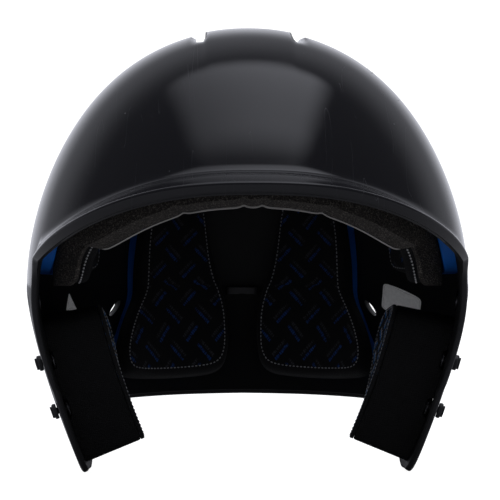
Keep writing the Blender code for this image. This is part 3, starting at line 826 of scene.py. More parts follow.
def make_printed_knit(name, first, second, cell, weight, raw_edge=0.0, strength=0.85, plain=0.0005):
    """Black knit with a two-colour dash print, and a plain margin or a pale raw edge."""
    made, tree, shader = new_material(name, (0.013, 0.013, 0.015), 0.88)
    shader.inputs["Sheen Weight"].default_value = 0.03
    shader.inputs["Sheen Roughness"].default_value = 0.5
    place, border = cloth_place(tree)
    threads = use_group(tree, knit, {"Vector": place, "Pitch": 0.0008})
    print_marks = use_group(tree, dashes, {"Vector": place, "Cell": cell, "Weight": weight})
    worn = calc(tree, "MULTIPLY", ease(tree, noise(tree, place, 900.0, 2.0), 0.30, 0.55), strength)
    printed = calc(tree, "GREATER_THAN", border, 0.0003 if raw_edge else plain)
    worn = calc(tree, "MULTIPLY", worn, printed)
    # Painted shade: the knit is coloured darker in the hollows between its threads.
    colour = blend_colours(tree, threads["Shade"], (0.0020, 0.0020, 0.0024), (0.0055, 0.0055, 0.0065))
    colour = blend_colours(tree, calc(tree, "MULTIPLY", print_marks["First"], worn), colour, first)
    colour = blend_colours(tree, calc(tree, "MULTIPLY", print_marks["Second"], worn), colour, second)
    if raw_edge:
        uneven = calc(tree, "MULTIPLY_ADD", noise(tree, place, 500.0, 2.0), 0.0006, raw_edge - 0.0003)
        colour = blend_colours(tree, calc(tree, "LESS_THAN", border, uneven), colour, (0.55, 0.53, 0.50))
    tree.links.new(colour, shader.inputs["Base Color"])
    bump(tree, shader, threads["Height"], 0.6, 0.0003)
    return made


BLUE_INK, GREY_INK = (0.008, 0.070, 0.30), (0.050, 0.052, 0.060)
open_foam = make_open_foam()
brow_knit = make_printed_knit("brow_knit", BLUE_INK, GREY_INK, 0.0155, 0.05, raw_edge=0.0008)
brow_strip = patch_place(BROW_LOW, BROW_HIGH, ((0, -BROW_SPAN),), ((0, BROW_SPAN),), 0.35, BROW_ARCH,
                         BROW_SNIPS)
brow_foam, _ = make_pad("brow_foam_strip", brow_strip, 1, LINING, BROW_THICK, 0.0015, **BROW_POINTS)
finish_piece(brow_foam, open_foam, "brown_foam", "brow_foam")
brow_facing, _ = make_pad("brow_fabric_strip", brow_strip, 1, LINING + BROW_THICK + LAYER_GAP * 0.4,
                          FACING_THICK, 0.0004, **BROW_POINTS)
finish_piece(brow_facing, brow_knit, "black_fabric", "brow_facing")


# ---- Blue base pads ------------------------------------------------------------------------------
# Closed-cell foam, 7.5 mm thick, die-cut and glued to the wall at each side, at the back and under
# the crown. The softer pads sit on it, and its edges show between them.

BASE_THICK = 0.0075
PAD_THICK = 0.0110
SECOND = LINING + BASE_THICK + LAYER_GAP
SIDE_BASE = (0.0075, 0.075, ((0, 75), (0.03, 70), (0.075, 66)), ((0, 128), (0.075, 120)))
REAR_BASE = (-0.051, 0.070, ((-0.059, 121.5), (-0.030, 136.5), (-0.008, 143.8)),
             ((-0.06, 173), (-0.02, 172), (0.022, 166), (0.07, 160)), 0.2)
CROWN_BASE = (26.0, 34.0)            # half sizes across and along, in degrees from the crown
BASE_ROUNDING = 0.0012


def oval_place(half_across, half_along):
    """Place function of an oval pad under the crown; its half sizes are polar angles in degrees."""
    def place(u, v, depth):
        share = np.maximum(np.abs(u), np.abs(v))
        turn = np.arctan2(u, v)
        size = np.hypot(half_across * np.sin(turn), half_along * np.cos(turn))
        return turn, DOME_RISE * np.cos(np.radians(size) * share / max(share.max(), 1e-9))
    return place


def make_closed_foam():
    """Smooth blue foam, slightly mottled, with painted shade in its pores."""
    made, tree, shader = new_material("closed_cell_foam", (0.009, 0.20, 0.80), 0.55)
    place = object_place(tree)
    cells = use_group(tree, pores, {"Vector": place, "Per metre": 2600.0})
    # Painted shade: the pores are coloured a darker blue.
    colour = blend_colours(tree, cells["Pores"], (0.010, 0.22, 0.85), (0.007, 0.13, 0.60))
    colour = blend_colours(tree, calc(tree, "MULTIPLY", noise(tree, place, 90.0), 0.5), colour,
                           (0.008, 0.15, 0.68))
    tree.links.new(colour, shader.inputs["Base Color"])
    bump(tree, shader, cells["Height"], 0.3, 0.0002)
    return made


closed_foam = make_closed_foam()
for side_name, side in SIDES:
    for label, limits in (("side_base_", SIDE_BASE), ("rear_base_", REAR_BASE)):
        base, _ = make_pad(label + "foam_" + side_name, patch_place(*limits), side, LINING, BASE_THICK,
                           BASE_ROUNDING)
        finish_piece(base, closed_foam, "blue_foam", label + side_name)
crown_base, _ = make_pad("crown_base_foam", oval_place(*CROWN_BASE), 1, LINING, BASE_THICK,
                         BASE_ROUNDING)
finish_piece(crown_base, closed_foam, "blue_foam", "crown_base")


# ---- Fabric-covered pads -------------------------------------------------------------------------
# Soft foam in a knitted cover, stitched round its edge: two behind, two above the ears, one under
# the crown. The temple pads are bare foam in front, with a stitched fabric flap over their inner face.

REAR_PAD = (-0.057, 0.0655,
            ((-0.059, 123), (-0.045, 128), (-0.023, 136.8), (-0.008, 142.5), (0.07, 143.5)),
            ((-0.06, 176), (-0.02, 175), (0.022, 169.5), (0.07, 164)), 0.2)
SIDE_PAD = (0.008, 0.060, ((0, 95),), ((0, 122), (0.06, 118)))
TEMPLE_PAD = (0.0020, 0.065, ((0, 69), (0.018, 68), (0.03, 60), (0.065, 56)), ((0, 92),))
TEMPLE_FLAP = (0.0040, 0.062, ((0, 71.5), (0.018, 70), (0.03, 63), (0.065, 59)), ((0, 90),), 0.8)
TEMPLE_FLAP_THICK = 0.0070
TEMPLE_BEVEL, BEVEL_SPAN = 0.80 * PAD_THICK, 11.0   # the span in degrees
TEMPLE_POINTS = {"around": 240, "rings": 24}
CROWN_PAD = (22.0, 29.0)             # half sizes across and along, in degrees from the crown
CUSHION_ROUNDING, PUFF = 0.0045, 0.0014
STITCH_SPACING, STITCH_LENGTH, STITCH_RADIUS = 0.0022, 0.0014, 0.00036
WALL_SEAM, CROWN_SEAM = 0.0035, 0.0012   # in from the border
TEMPLE_SEAM_SINK = 0.0014            # from the flap's face, down its edge


def make_stitch_tree():
    """Geometry nodes: a short rounded thread at even steps along each line of the mesh."""
    tree = bpy.data.node_groups.new("stitch_line", "GeometryNodeTree")
    tree.interface.new_socket("Geometry", in_out="INPUT", socket_type="NodeSocketGeometry")
    identifiers = {}
    for name, kind in (("Spacing", "NodeSocketFloat"), ("Length", "NodeSocketFloat"),
                       ("Radius", "NodeSocketFloat"), ("Thread", "NodeSocketMaterial")):
        made = tree.interface.new_socket(name, in_out="INPUT", socket_type=kind)
        identifiers[name] = made.identifier
    tree.interface.new_socket("Geometry", in_out="OUTPUT", socket_type="NodeSocketGeometry")
    given = tree.nodes.new("NodeGroupInput").outputs
    line = add_node(tree, "GeometryNodeMeshToCurve", {0: given["Geometry"]})
    steps = add_node(tree, "GeometryNodeResampleCurve", {"Curve": line.outputs[0],
                                                         "Length": given["Spacing"]}, mode="LENGTH")
    bead = add_node(tree, "GeometryNodeMeshUVSphere", {"Segments": 8, "Rings": 5, "Radius": 1.0})
    half_length = calc(tree, "MULTIPLY", given["Length"], 0.5)
    size = add_node(tree, "ShaderNodeCombineXYZ", {"X": given["Radius"], "Y": given["Radius"],
                                                   "Z": half_length})
    thread = add_node(tree, "GeometryNodeTransform", {"Geometry": bead.outputs["Mesh"],
                                                      "Scale": size.outputs[0]})
    tangent = add_node(tree, "GeometryNodeInputTangent")
    turn = add_node(tree, "FunctionNodeAlignRotationToVector", {"Vector": tangent.outputs[0]}, axis="Z")
    placed = add_node(tree, "GeometryNodeInstanceOnPoints", {
        "Points": steps.outputs[0], "Instance": thread.outputs[0], "Rotation": turn.outputs[0]})
    real = add_node(tree, "GeometryNodeRealizeInstances", {0: placed.outputs[0]})
    smooth_faces = add_node(tree, "GeometryNodeSetShadeSmooth", {0: real.outputs[0]})
    painted = add_node(tree, "GeometryNodeSetMaterial", {"Geometry": smooth_faces.outputs[0],
                                                         "Material": given["Thread"]})
    result = tree.nodes.new("NodeGroupOutput")
    tree.links.new(painted.outputs[0], result.inputs[0])
    return tree, identifiers


def seam_line(seam, inset, lift=0.0):
    """Points of the open face at a distance in from its border, all the way round."""
    points, border = seam
    line = []
    for k in range(points.shape[1]):
        order = np.argsort(border[:, k])
        line.append([np.interp(inset, border[order, k], points[order, k, axis]) for axis in range(3)])
    line = np.array(line)
    towards = line - np.array([0, AXIS_Y, WIDEST_Z])
    return line - lift * towards / np.linalg.norm(towards, axis=-1, keepdims=True)


def stitch(name, line, thread, radius=STITCH_RADIUS):
    """One piece that holds the stitches round a closed line of points."""
    mesh = bpy.data.meshes.new(name)
    count = len(line)
    mesh.from_pydata([tuple(point) for point in line], [(k, (k + 1) % count) for k in range(count)], [])
    piece = link_mesh(name, mesh)
    nodes = piece.modifiers.new("stitches", "NODES")
    nodes.node_group = stitch_tree
    for key, value in (("Spacing", STITCH_SPACING), ("Length", STITCH_LENGTH), ("Radius", radius),
                       ("Thread", thread)):
        nodes[stitch_inputs[key]] = value
    apply_modifiers(piece)
    finish_piece(piece, thread, "black_fabric")


def make_thread(name, colour):
    """Twisted sewing thread."""
    made, tree, shader = new_material(name, colour, 0.7)
    place = object_place(tree)
    twist = noise(tree, place, 2400.0, 2.0)
    dark = tuple(0.45 * part for part in colour)
    tree.links.new(blend_colours(tree, ease(tree, twist, 0.35, 0.6), dark, colour),
                   shader.inputs["Base Color"])
    bump(tree, shader, twist, 0.5, 0.0002)
    return made


def temple_bevel(degrees, rise):
    """The foam's front end is cut at a slant, from the inner face back to the base."""
    front = read_table(TEMPLE_PAD[2], rise)
    return TEMPLE_BEVEL * smooth((front + BEVEL_SPAN - degrees) / BEVEL_SPAN)


def make_cushion(name, place, side, node):
    """Puffed cushion in printed knit; returns the rings for its seam."""
    cushion, seam = make_pad(name, place, side, SECOND, PAD_THICK - PUFF, CUSHION_ROUNDING, PUFF)
    finish_piece(cushion, pad_knit, "black_fabric", node)
    return seam


stitch_tree, stitch_inputs = make_stitch_tree()
pale_thread = make_thread("pale_thread", (0.42, 0.43, 0.45))
white_thread = make_thread("white_thread", (0.80, 0.80, 0.80))
pad_knit = make_printed_knit("pad_knit", BLUE_INK, GREY_INK, 0.0155, 0.065, plain=0.004)
for side_name, side in SIDES:
    for label, limits in (("rear_pad_", REAR_PAD), ("side_pad_", SIDE_PAD)):
        seam = make_cushion(label + "cushion_" + side_name, patch_place(*limits), side,
                            label + side_name)
        stitch(label + "stitches_" + side_name, seam_line(seam, WALL_SEAM), pale_thread)
    foam, _ = make_pad("temple_foam_" + side_name, patch_place(*TEMPLE_PAD), side, SECOND, PAD_THICK,
                       0.0028, relief=temple_bevel, **TEMPLE_POINTS)
    finish_piece(foam, open_foam, "brown_foam", "temple_pad_" + side_name)
    flap, seam = make_pad("temple_flap_" + side_name, patch_place(*TEMPLE_FLAP), side,
                          SECOND + PAD_THICK + 0.0003, TEMPLE_FLAP_THICK, 0.0035, **TEMPLE_POINTS)
    finish_piece(flap, pad_knit, "black_fabric")
    stitch("temple_stitches_" + side_name, seam_line(seam, 0.0, -TEMPLE_SEAM_SINK), white_thread,
           1.35 * STITCH_RADIUS)
seam = make_cushion("crown_cushion", oval_place(*CROWN_PAD), 1, "crown_pad")
stitch("crown_stitches", seam_line(seam, CROWN_SEAM), pale_thread)


# ---- Ear pads ------------------------------------------------------------------------------------
# Thick blocks of black foam inside the ear flaps, bored through over the ear hole. A thin facing
# with a bright print is bonded to the inner face, and the cut sides show a fine crossed grain.

EAR_PAD_GAP = 0.0040
EAR_PAD_THICK = 0.0270
EAR_FACING_THICK = 0.0020
EAR_TAPER = 0.0080                   # the block thins towards its back edge
EAR_CAVITY = (0.019, 0.0215)
EAR_CAVITY_AZIMUTH = 96.0
EAR_SEAM = 0.0015
STUDS = (("upper", 78.5, 0.037), ("lower", 82.0, 0.062))   # azimuth, and drop from the widest line
WASHER_ROOM, WASHER_REACH = 0.0028, 0.0059                 # pockets for the studs' washers
CLOSE = 0.0002                       # from the wall to the block, outside those pockets
EAR_PAD = (-0.0915, -0.0155, ((-0.090, 87), (-0.065, 81.5), (-0.040, 78), (-0.010, 75.5)),
           ((-0.090, 97), (-0.065, 110), (-0.040, 117), (-0.010, 118)))


def bored_place(outline, azimuth_degrees, rise, bore):
    """Place function of a patch with an oval bore that runs along X; shares run from bore to border."""
    _, normal = wall_place(azimuth_degrees, rise)

    def place(u, v, depth):
        share = np.maximum(np.abs(u), np.abs(v))
        outer = outline(u / share, v / share, depth)
        turn = np.arctan2(v, u)
        middle_rise = rise + normal.z * depth
        bore_azimuth = math.radians(azimuth_degrees) + bore[0] / PATTERN_RADIUS * np.cos(turn)
        bore_rise = middle_rise + bore[1] * np.sin(turn)
        weight = (share - share.min()) / (share.max() - share.min())
        weight = np.broadcast_to(weight, outer[0].shape)
        return (bore_azimuth + (outer[0] - bore_azimuth) * weight,
                bore_rise + (outer[1] - bore_rise) * weight)
    return place


def taper(azimuth):
    """How much thinner the block is towards its back edge."""
    return EAR_TAPER * smooth((np.degrees(np.abs(azimuth)) - 86) / 34)


def washer_pockets(azimuth, rise):
    """Depth of the pockets that the glued face has over the washers."""
    near = [np.hypot((azimuth - math.radians(degrees)) * PATTERN_RADIUS, rise + drop)
            for _, degrees, drop in STUDS]
    return (WASHER_ROOM - CLOSE) * smooth((WASHER_REACH - np.minimum(*near)) / 0.0010)


def make_bored_pad(name, place, side, depth, thickness, rounding, follow, around=160, rings=14):
    """Pad with a bore: rings over the open face, down the border, over the glued face, up the bore.

    Its glued face lies at the depth plus what "follow" says.
    """
    u, v = squared_ring(around)
    share = (0.25 + 0.75 * (1 - np.cos(np.linspace(0, math.pi, rings + 1))) / 2)[:, None]
    azimuth, rise = place(u * share, v * share, depth + thickness)
    top = inside(azimuth * side, polar_at(rise), depth + thickness - taper(azimuth))
    steps = np.linalg.norm(np.diff(top, axis=0), axis=-1)
    from_bore = np.vstack([np.zeros((1, around)), np.cumsum(steps, axis=0)])
    border = np.minimum(from_bore, from_bore[-1] - from_bore)
    level = rounded_level(border, depth + thickness, rounding)
    open_face = inside(azimuth * side, polar_at(rise), level - taper(azimuth))
    back_azimuth, back_rise = place(u * share, v * share, depth)
    glued = inside(back_azimuth * side, polar_at(back_rise), depth + follow(back_azimuth, back_rise))
    shares = np.linspace(0, 1, 8)[1:-1]
    walls = steps_between(open_face[-1], glued[-1], shares)
    bore = steps_between(glued[0], open_face[0], shares)
    piece = solid_from_rings(name, np.vstack([open_face, walls, glued[::-1], bore]))
    cloth = np.stack([azimuth, rise, border], axis=-1)
    around_wall = np.repeat(cloth[-1:], len(walls), axis=0)
    around_bore = np.repeat(cloth[:1], len(bore), axis=0)
    store_cloth(piece, np.vstack([cloth, around_wall, cloth[::-1], around_bore]).reshape(-1, 3))
    return piece, (open_face[rings // 2:], (from_bore[-1] - from_bore)[rings // 2:])


GRAIN_TILT, GRAIN_PITCH = 0.6, 0.0016


def make_block_foam():
    """Black foam with a crossed woven grain in its cut faces."""
    made, tree, shader = new_material("ear_block_foam", (0.010, 0.010, 0.011), 0.92)
    place = object_place(tree)
    tilted = add_node(tree, "ShaderNodeMapping", {"Vector": place, "Rotation": (0.0, GRAIN_TILT, 0.0)})
    apart = add_node(tree, "ShaderNodeSeparateXYZ", {0: tilted.outputs[0]}).outputs
    waves = [calc(tree, "SINE", calc(tree, "MULTIPLY", apart[axis], 2 * math.pi / GRAIN_PITCH))
             for axis in ("X", "Z")]
    cross = calc(tree, "MULTIPLY", *waves)
    fuzz = noise(tree, place, 2200.0, 3.0)
    grain = ease(tree, calc(tree, "MULTIPLY_ADD", cross, 0.20, fuzz), 0.42, 0.78)
    colour = blend_colours(tree, grain, (0.0012, 0.0012, 0.0014), (0.0065, 0.0065, 0.0072))
    tree.links.new(colour, shader.inputs["Base Color"])
    bump(tree, shader, calc(tree, "MULTIPLY_ADD", cross, 0.4, fuzz), 0.7, 0.0004)
    return made


block_foam = make_block_foam()
BRIGHT_BLUE_INK, PALE_INK = (0.03, 0.33, 0.95), (0.62, 0.64, 0.68)
ear_knit = make_printed_knit("ear_knit", BRIGHT_BLUE_INK, PALE_INK, 0.0095, 0.11, strength=1.0)
ear_place = bored_place(patch_place(*EAR_PAD), EAR_CAVITY_AZIMUTH, -EAR_DROP, EAR_CAVITY)
for side_name, side in SIDES:
    block, _ = make_bored_pad("ear_block_" + side_name, ear_place, side, SHELL_WALL + CLOSE,
                              EAR_PAD_THICK + EAR_PAD_GAP - CLOSE, 0.0010, washer_pockets)
    finish_piece(block, block_foam, "black_foam", "ear_pad_" + side_name)
    facing, seam = make_bored_pad("ear_lining_" + side_name, ear_place, side,
                                  SHELL_WALL + EAR_PAD_GAP + EAR_PAD_THICK + 0.0002, EAR_FACING_THICK,
                                  0.0006, lambda azimuth, rise: -taper(azimuth))
    finish_piece(facing, ear_knit, "black_fabric", "ear_facing_" + side_name)
    stitch("ear_stitches_" + side_name, seam_line(seam, EAR_SEAM), pale_thread)


# ---- Hardware ------------------------------------------------------------------------------------
# Two chin-strap snap studs on each flap, riveted through the wall against a steel washer, a threaded
# insert with a plug for a face guard at each temple, and a moulded bridge between the rear pads.

STUD_CAP_RADIUS, STUD_CAP_HEIGHT, STUD_SHANK = 0.0040, 0.0022, 0.0016
WASHER_RADIUS, WASHER_THICK = 0.0045, 0.0010
INSERT_AZIMUTH, INSERT_DROP = 78.5, 0.006
INSERT_RADIUS, INSERT_FLANGE, INSERT_THREAD = 0.0038, 0.0055, 0.0026
FIT_GAP, SEAT_GAP = 0.0003, 0.0013
EDGE_BREAK = 0.0003
THREAD_TURNS, THREAD_PITCH = 12, 0.0004
TURNED_SIDES = 48


def turned(name, point, normal, profile, bored=False):
    """Turned piece about an axis; profile pairs are radius and height. A bored one closes on itself."""
    normal = np.array(normal)
    across = np.cross(normal, [0.0, 0.0, 1.0])
    across /= np.linalg.norm(across)
    along_wall = np.cross(normal, across)
    turn = 2 * math.pi * np.arange(TURNED_SIDES)[:, None] / TURNED_SIDES
    spokes = across * np.cos(turn) + along_wall * np.sin(turn)
    rings = np.array([np.array(point) + normal * height + spokes * radius
                      for radius, height in profile])
    poles = None
    if not bored:
        poles = [np.array(point) + normal * height for height in (profile[0][1], profile[-1][1])]
    piece = solid_from_rings(name, rings, poles)
    piece.data.shade_smooth()
    piece.data.set_sharp_from_angle(angle=math.radians(35))
    return piece


def softened(profile, radius):
    """Profile with each corner cut twice, so that edges catch the light."""
    profile = np.array(profile)
    result = [profile[0]]
    for before, corner, after in zip(profile, profile[1:], profile[2:]):
        for other in (before, after):
            away = other - corner
            result.append(corner + away * min(radius / np.linalg.norm(away), 0.45))
    return [tuple(pair) for pair in [*result, profile[-1]]]


def make_satin_plastic():
    """Satin black plastic, finely grained, with a little dust."""
    black = (0.014, 0.014, 0.016)
    made, tree, shader = new_material("satin_black_plastic", black, 0.38)
    place = object_place(tree)
    grain = noise(tree, place, 1800.0, 3.0)
    specks = use_group(tree, dust, {"Vector": place, "Per metre": 700.0, "Share": 0.10})["Dust"]
    colour = blend_colours(tree, calc(tree, "MULTIPLY", specks, 0.5), black, (0.12, 0.12, 0.12))
    tree.links.new(colour, shader.inputs["Base Color"])
    tree.links.new(calc(tree, "MULTIPLY_ADD", grain, 0.2, 0.28), shader.inputs["Roughness"])
    bump(tree, shader, grain, 0.25, 0.0002)
    return made


def make_black_steel():
    """Blackened steel, worn bright in places."""
    made, tree, shader = new_material("blackened_steel", (0.09, 0.09, 0.095), 0.32, 1.0)
    place = object_place(tree)
    marks = use_group(tree, scratches, {"Vector": place, "Width": 0.02})["Scratches"]
    worn = ease(tree, noise(tree, place, 700.0, 3.0), 0.5, 0.72)
    colour = blend_colours(tree, calc(tree, "MAXIMUM", marks, calc(tree, "MULTIPLY", worn, 0.6)),
                           (0.075, 0.075, 0.08), (0.42, 0.42, 0.43))
    tree.links.new(colour, shader.inputs["Base Color"])
    tree.links.new(calc(tree, "MULTIPLY_ADD", worn, 0.22, 0.25), shader.inputs["Roughness"])
    return made


BACK = -SHELL_WALL - SEAT_GAP        # where washers and flanges bear on the wall's inner face
WASHER_BACK = BACK - WASHER_THICK


def stud_profile():
    """Snap stud: shank, broad cap, and a waisted head with a dimple."""
    cap, top = STUD_CAP_RADIUS, SEAT_GAP + STUD_CAP_HEIGHT
    return softened(((STUD_SHANK, WASHER_BACK - FIT_GAP), (STUD_SHANK, FIT_GAP), (cap, FIT_GAP),
                     (cap, SEAT_GAP + 0.40 * STUD_CAP_HEIGHT),
                     (0.72 * cap, SEAT_GAP + 0.55 * STUD_CAP_HEIGHT), (0.80 * cap, top),
                     (0.55 * cap, top), (0.45 * cap, top - 0.0008), (0.0002, top - 0.0009)), EDGE_BREAK)


def washer_profile():
    bore = STUD_SHANK + FIT_GAP
    return ((bore, WASHER_BACK), (WASHER_RADIUS - EDGE_BREAK, WASHER_BACK),
            (WASHER_RADIUS, WASHER_BACK + EDGE_BREAK), (WASHER_RADIUS, BACK - EDGE_BREAK),
            (WASHER_RADIUS - EDGE_BREAK, BACK), (bore + 0.0002, BACK), (bore, BACK - 0.0002))


def insert_profile():
    """Flanged insert with a fine thread in its bore."""
    profile = [(INSERT_THREAD, WASHER_BACK), (INSERT_FLANGE - EDGE_BREAK, WASHER_BACK),
               (INSERT_FLANGE, WASHER_BACK + EDGE_BREAK), (INSERT_FLANGE, BACK - 0.0002),
               (INSERT_FLANGE - 0.0002, BACK), (INSERT_RADIUS, BACK), (INSERT_RADIUS, -EDGE_BREAK),
               (INSERT_RADIUS - EDGE_BREAK, 0.0), (INSERT_THREAD + EDGE_BREAK, 0.0)]
    for k in range(THREAD_TURNS):
        height = -THREAD_PITCH / 2 - k * THREAD_PITCH
        profile += [(INSERT_THREAD, height), (INSERT_THREAD + 0.0002, height - THREAD_PITCH / 2)]
    return profile


def plug_profile():
    """Plug with a socket in its outer face."""
    plug = INSERT_THREAD - FIT_GAP
    return softened(((plug, -SHELL_WALL), (plug, 0.0), (0.5 * plug, 0.0), (0.42 * plug, -0.0008),
                     (0.0002, -0.0010)), 0.0002)


satin_plastic = make_satin_plastic()
black_steel = make_black_steel()
for side_name, side in SIDES:
    for stud_name, azimuth, drop in STUDS:
        spot = wall_place(side * azimuth, -drop)
        label = "%s_%s" % (stud_name, side_name)
        stud = turned("snap_stud_" + label, *spot, stud_profile())
        finish_piece(stud, satin_plastic, "black_plastic", "stud_" + label)
        washer = turned("rivet_washer_" + label, *spot, washer_profile(), bored=True)
        finish_piece(washer, black_steel, "dark_steel", "stud_washer_" + label)
    spot = wall_place(side * INSERT_AZIMUTH, -INSERT_DROP)
    insert = turned("guard_insert_" + side_name, *spot, insert_profile(), bored=True)
    finish_piece(insert, black_steel, "dark_steel", "mask_insert_" + side_name)
    plug = turned("guard_plug_" + side_name, *spot, plug_profile())
    finish_piece(plug, satin_plastic, "black_plastic", "mask_plug_" + side_name)

BRIDGE_ROUND = 0.0008
BRIDGE_WAVE, BRIDGE_CURVE = 0.0007, 0.0012


def make_bridge():
    """Bar between the rear pads: a waved lower edge, its ends bent back, its corners rounded."""
    low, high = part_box("rear_bridge")
    middle, size = (low + high) / 2, high - low
    bm = bmesh.new()
    bmesh.ops.create_cube(bm, size=1.0)
    for vert in bm.verts:
        vert.co = middle + vert.co * size
    bmesh.ops.subdivide_edges(bm, edges=bm.edges, cuts=8, use_grid_fill=True)
    for vert in bm.verts:
        across = (vert.co.x - middle.x) / size.x * 2
        if vert.co.z < middle.z:
            vert.co.z += BRIDGE_WAVE * (0.5 + 0.5 * math.cos(across * 3.0 * math.pi)) * (1 - abs(across))
        vert.co.y += BRIDGE_CURVE * across * across
    mesh = bpy.data.meshes.new("rear_bridge_moulding")
    bm.to_mesh(mesh)
    bm.free()
    bar = link_mesh("rear_bridge_moulding", mesh)
    bevel = bar.modifiers.new("rounding", "BEVEL")
    bevel.width = BRIDGE_ROUND
    bevel.segments = 3
    bevel.limit_method = "ANGLE"
    bevel.angle_limit = math.radians(50)
    apply_modifiers(bar)
    bar.data.shade_smooth()
    bar.data.set_sharp_from_angle(angle=math.radians(40))
    return bar


finish_piece(make_bridge(), satin_plastic, "black_plastic", "rear_bridge")


# ---- Labels --------------------------------------------------------------------------------------
# A blank pale label inside the left wall, and a small three-cornered sticker inside the right one.
# Both are thin film with softly rounded corners.

LABEL_DEPTH, LABEL_THICK = SHELL_WALL + 0.0002, 0.00015
LABEL = (-0.0185, -0.0030, ((0, 118.0),), ((0, 135.0),), 0.02)
LABEL_MIDDLE = math.radians(126.5)
LABEL_SLOPE = 0.0325                 # rise towards the back, in metres per radian
STICKER = (120.0, -0.0105, 0.0064)   # azimuth, rise, and reach of its corners before they are cut
FILM_POINTS = {"around": 120, "rings": 6}


def make_film():
    """Pale printed film, blank but for a thin line just inside its edge, with a faint painted glow."""
    made, tree, shader = new_material("pale_film", (0.80, 0.80, 0.79), 0.5)
    place, border = cloth_place(tree)
    mottled = ease(tree, noise(tree, place, 500.0, 3.0), 0.3, 0.8)
    colour = blend_colours(tree, mottled, (0.74, 0.74, 0.73), (0.86, 0.86, 0.85))
    from_line = calc(tree, "ABSOLUTE", calc(tree, "SUBTRACT", border, 0.0011))
    edge_line = calc(tree, "LESS_THAN", from_line, 0.00012)
    colour = blend_colours(tree, calc(tree, "MULTIPLY", edge_line, 0.5), colour, (0.12, 0.12, 0.12))
    tree.links.new(colour, shader.inputs["Base Color"])
    # Painted light: a faint glow in the film's own colour brightens the label as if lit in the shade of
    # the lining.
    tree.links.new(colour, shader.inputs["Emission Color"])
    shader.inputs["Emission Strength"].default_value = 0.05
    bump(tree, shader, noise(tree, place, 120.0, 2.0), 0.3, 0.0006)
    return made


def label_place(u, v, depth):
    """The label slopes up towards the back."""
    azimuth, rise = patch_place(*LABEL)(u, v, depth)
    return azimuth, rise + LABEL_SLOPE * (azimuth - LABEL_MIDDLE)


def triangle_place(azimuth_degrees, rise, size):
    """Place function of a three-cornered patch, one corner up, with its corners cut back."""
    def place(u, v, depth):
        turn = np.arctan2(v, u)
        length = np.maximum(np.abs(u), np.abs(v))
        from_corner = np.abs(np.mod(turn - math.pi / 6, 2 * math.pi / 3) - math.pi / 3)
        reach = np.minimum(size * 0.5 / np.cos(math.pi / 3 - from_corner), size * 0.94)
        return (math.radians(azimuth_degrees) + length * reach * np.cos(turn) / PATTERN_RADIUS,
                rise + length * reach * np.sin(turn))
    return place


film = make_film()
for name, place, side in (("blank_label_left", label_place, 1),
                          ("corner_sticker_right", triangle_place(*STICKER), -1)):
    label, _ = make_pad(name, place, side, LABEL_DEPTH, LABEL_THICK, 0.0001, **FILM_POINTS)
    finish_piece(label, film, "black_fabric")


# ---- Studio --------------------------------------------------------------------------------------
# A floor and a surround that are bright only to the camera. Matt surfaces get an even light that
# grows upwards and to the back. What shines mirrors a softbox overhead and a glow behind.

FLOOR_HALF = 6.0
FLOOR_GREY, FLOOR_GLOW = (0.20, 0.20, 0.20), 0.97
SOFTBOX_HALF_WIDTH = 0.53            # slopes from straight up: sideways, then forwards and backwards
SOFTBOX_FRONT, SOFTBOX_BACK = 0.73, -0.40
SOFTBOX_GLOW = 1.25
SOFTBOX_DIM_SIDE, SOFTBOX_GAIN = 0.34, 0.78   # share at its dim side, and what the bright one adds
BACK_GLOW, HAZE_GLOW, FRONT_GLOW = 0.60, 0.27, 0.085
ROOM_BACK, ROOM_FRONT = 1.3, 0.85    # what matt surfaces get
ROOM_TINT = (0.895, 0.910, 1.0)

floor_mesh = bpy.data.meshes.new("studio_floor")
corners = [(x * FLOOR_HALF, y * FLOOR_HALF, 0) for x, y in ((-1, -1), (1, -1), (1, 1), (-1, 1))]
floor_mesh.from_pydata(corners, [], [(0, 1, 2, 3)])
floor = link_mesh("studio_floor", floor_mesh)
floor_paint, tree, shader = new_material("studio_floor_paint", FLOOR_GREY, 0.9)
shader.inputs["Emission Color"].default_value = (1, 1, 1, 1)
seen = add_node(tree, "ShaderNodeLightPath").outputs["Is Camera Ray"]
tree.links.new(calc(tree, "MULTIPLY", seen, FLOOR_GLOW), shader.inputs["Emission Strength"])
floor_mesh.materials.append(floor_paint)

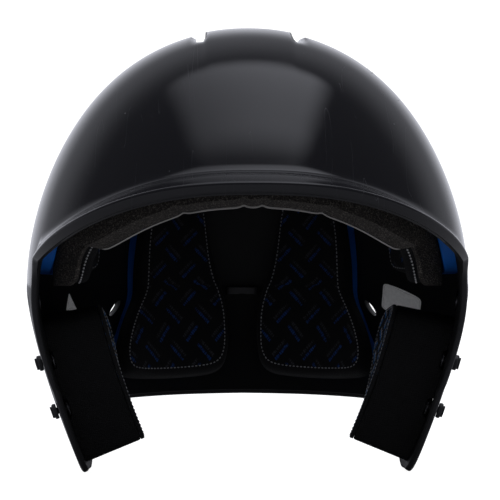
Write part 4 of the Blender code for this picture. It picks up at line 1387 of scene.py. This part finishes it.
world = bpy.data.worlds.new("studio")
bpy.context.scene.world = world
world.use_nodes = True
tree = world.node_tree
background = tree.nodes["Background"]
direction = add_node(tree, "ShaderNodeTexCoord").outputs["Generated"]
x, y, z = add_node(tree, "ShaderNodeSeparateXYZ", {0: direction}).outputs
upward = calc(tree, "MAXIMUM", z, 0.001)
across = calc(tree, "DIVIDE", x, upward)
sideways = calc(tree, "ABSOLUTE", across)
forwards = calc(tree, "DIVIDE", calc(tree, "MULTIPLY", y, -1.0), upward)
uneven = calc(tree, "MULTIPLY_ADD", ease(tree, across, -0.75, 0.25), SOFTBOX_GAIN, SOFTBOX_DIM_SIDE)
softbox = SOFTBOX_GLOW
for share in (ease(tree, sideways, SOFTBOX_HALF_WIDTH + 0.10, SOFTBOX_HALF_WIDTH - 0.16),
              ease(tree, forwards, SOFTBOX_FRONT + 0.20, SOFTBOX_FRONT - 0.35),
              ease(tree, forwards, SOFTBOX_BACK - 0.06, SOFTBOX_BACK + 0.16), uneven):
    softbox = calc(tree, "MULTIPLY", softbox, share)
haze = calc(tree, "MULTIPLY_ADD", ease(tree, y, 0.20, 0.65), HAZE_GLOW, FRONT_GLOW)
room = calc(tree, "MULTIPLY_ADD", ease(tree, y, 0.72, 0.98), BACK_GLOW, haze)
mirrored = calc(tree, "MAXIMUM", room, softbox)
matt = calc(tree, "MULTIPLY_ADD", ease(tree, calc(tree, "ADD", y, z), -0.3, 0.9),
            ROOM_BACK - ROOM_FRONT, ROOM_FRONT)
path = add_node(tree, "ShaderNodeLightPath").outputs
mirrored_more = calc(tree, "SUBTRACT", mirrored, matt)
lit = calc(tree, "MULTIPLY_ADD", path["Is Glossy Ray"], mirrored_more, matt)
tree.links.new(calc(tree, "MAXIMUM", lit, path["Is Camera Ray"]), background.inputs["Strength"])
tree.links.new(blend_colours(tree, path["Is Camera Ray"], ROOM_TINT, (1.0, 1.0, 1.0)),
               background.inputs["Color"])

CAMERA_DISTANCE = 0.95               # to the middle of the box
CAMERA_TURN = math.radians(-1.6)
camera_data = bpy.data.cameras.new("camera")
camera = bpy.data.objects.new("camera", camera_data)
bpy.context.scene.collection.objects.link(camera)
middle = Vector((0, AXIS_Y, (frame_low.z + frame_high.z) / 2))
backward = Vector((math.sin(CAMERA_TURN), -math.cos(CAMERA_TURN), 0))
camera.location = middle + backward * (CAMERA_DISTANCE + AXIS_Y)
camera.rotation_euler = (math.pi / 2, 0, CAMERA_TURN)
camera_data.sensor_width = 36.0
camera_data.lens = 134.4
camera_data.shift_x = 0.0055
camera_data.shift_y = 0.002
camera_data.clip_start = 0.05
bpy.context.scene.camera = camera
bpy.context.scene.view_settings.view_transform = "Standard"
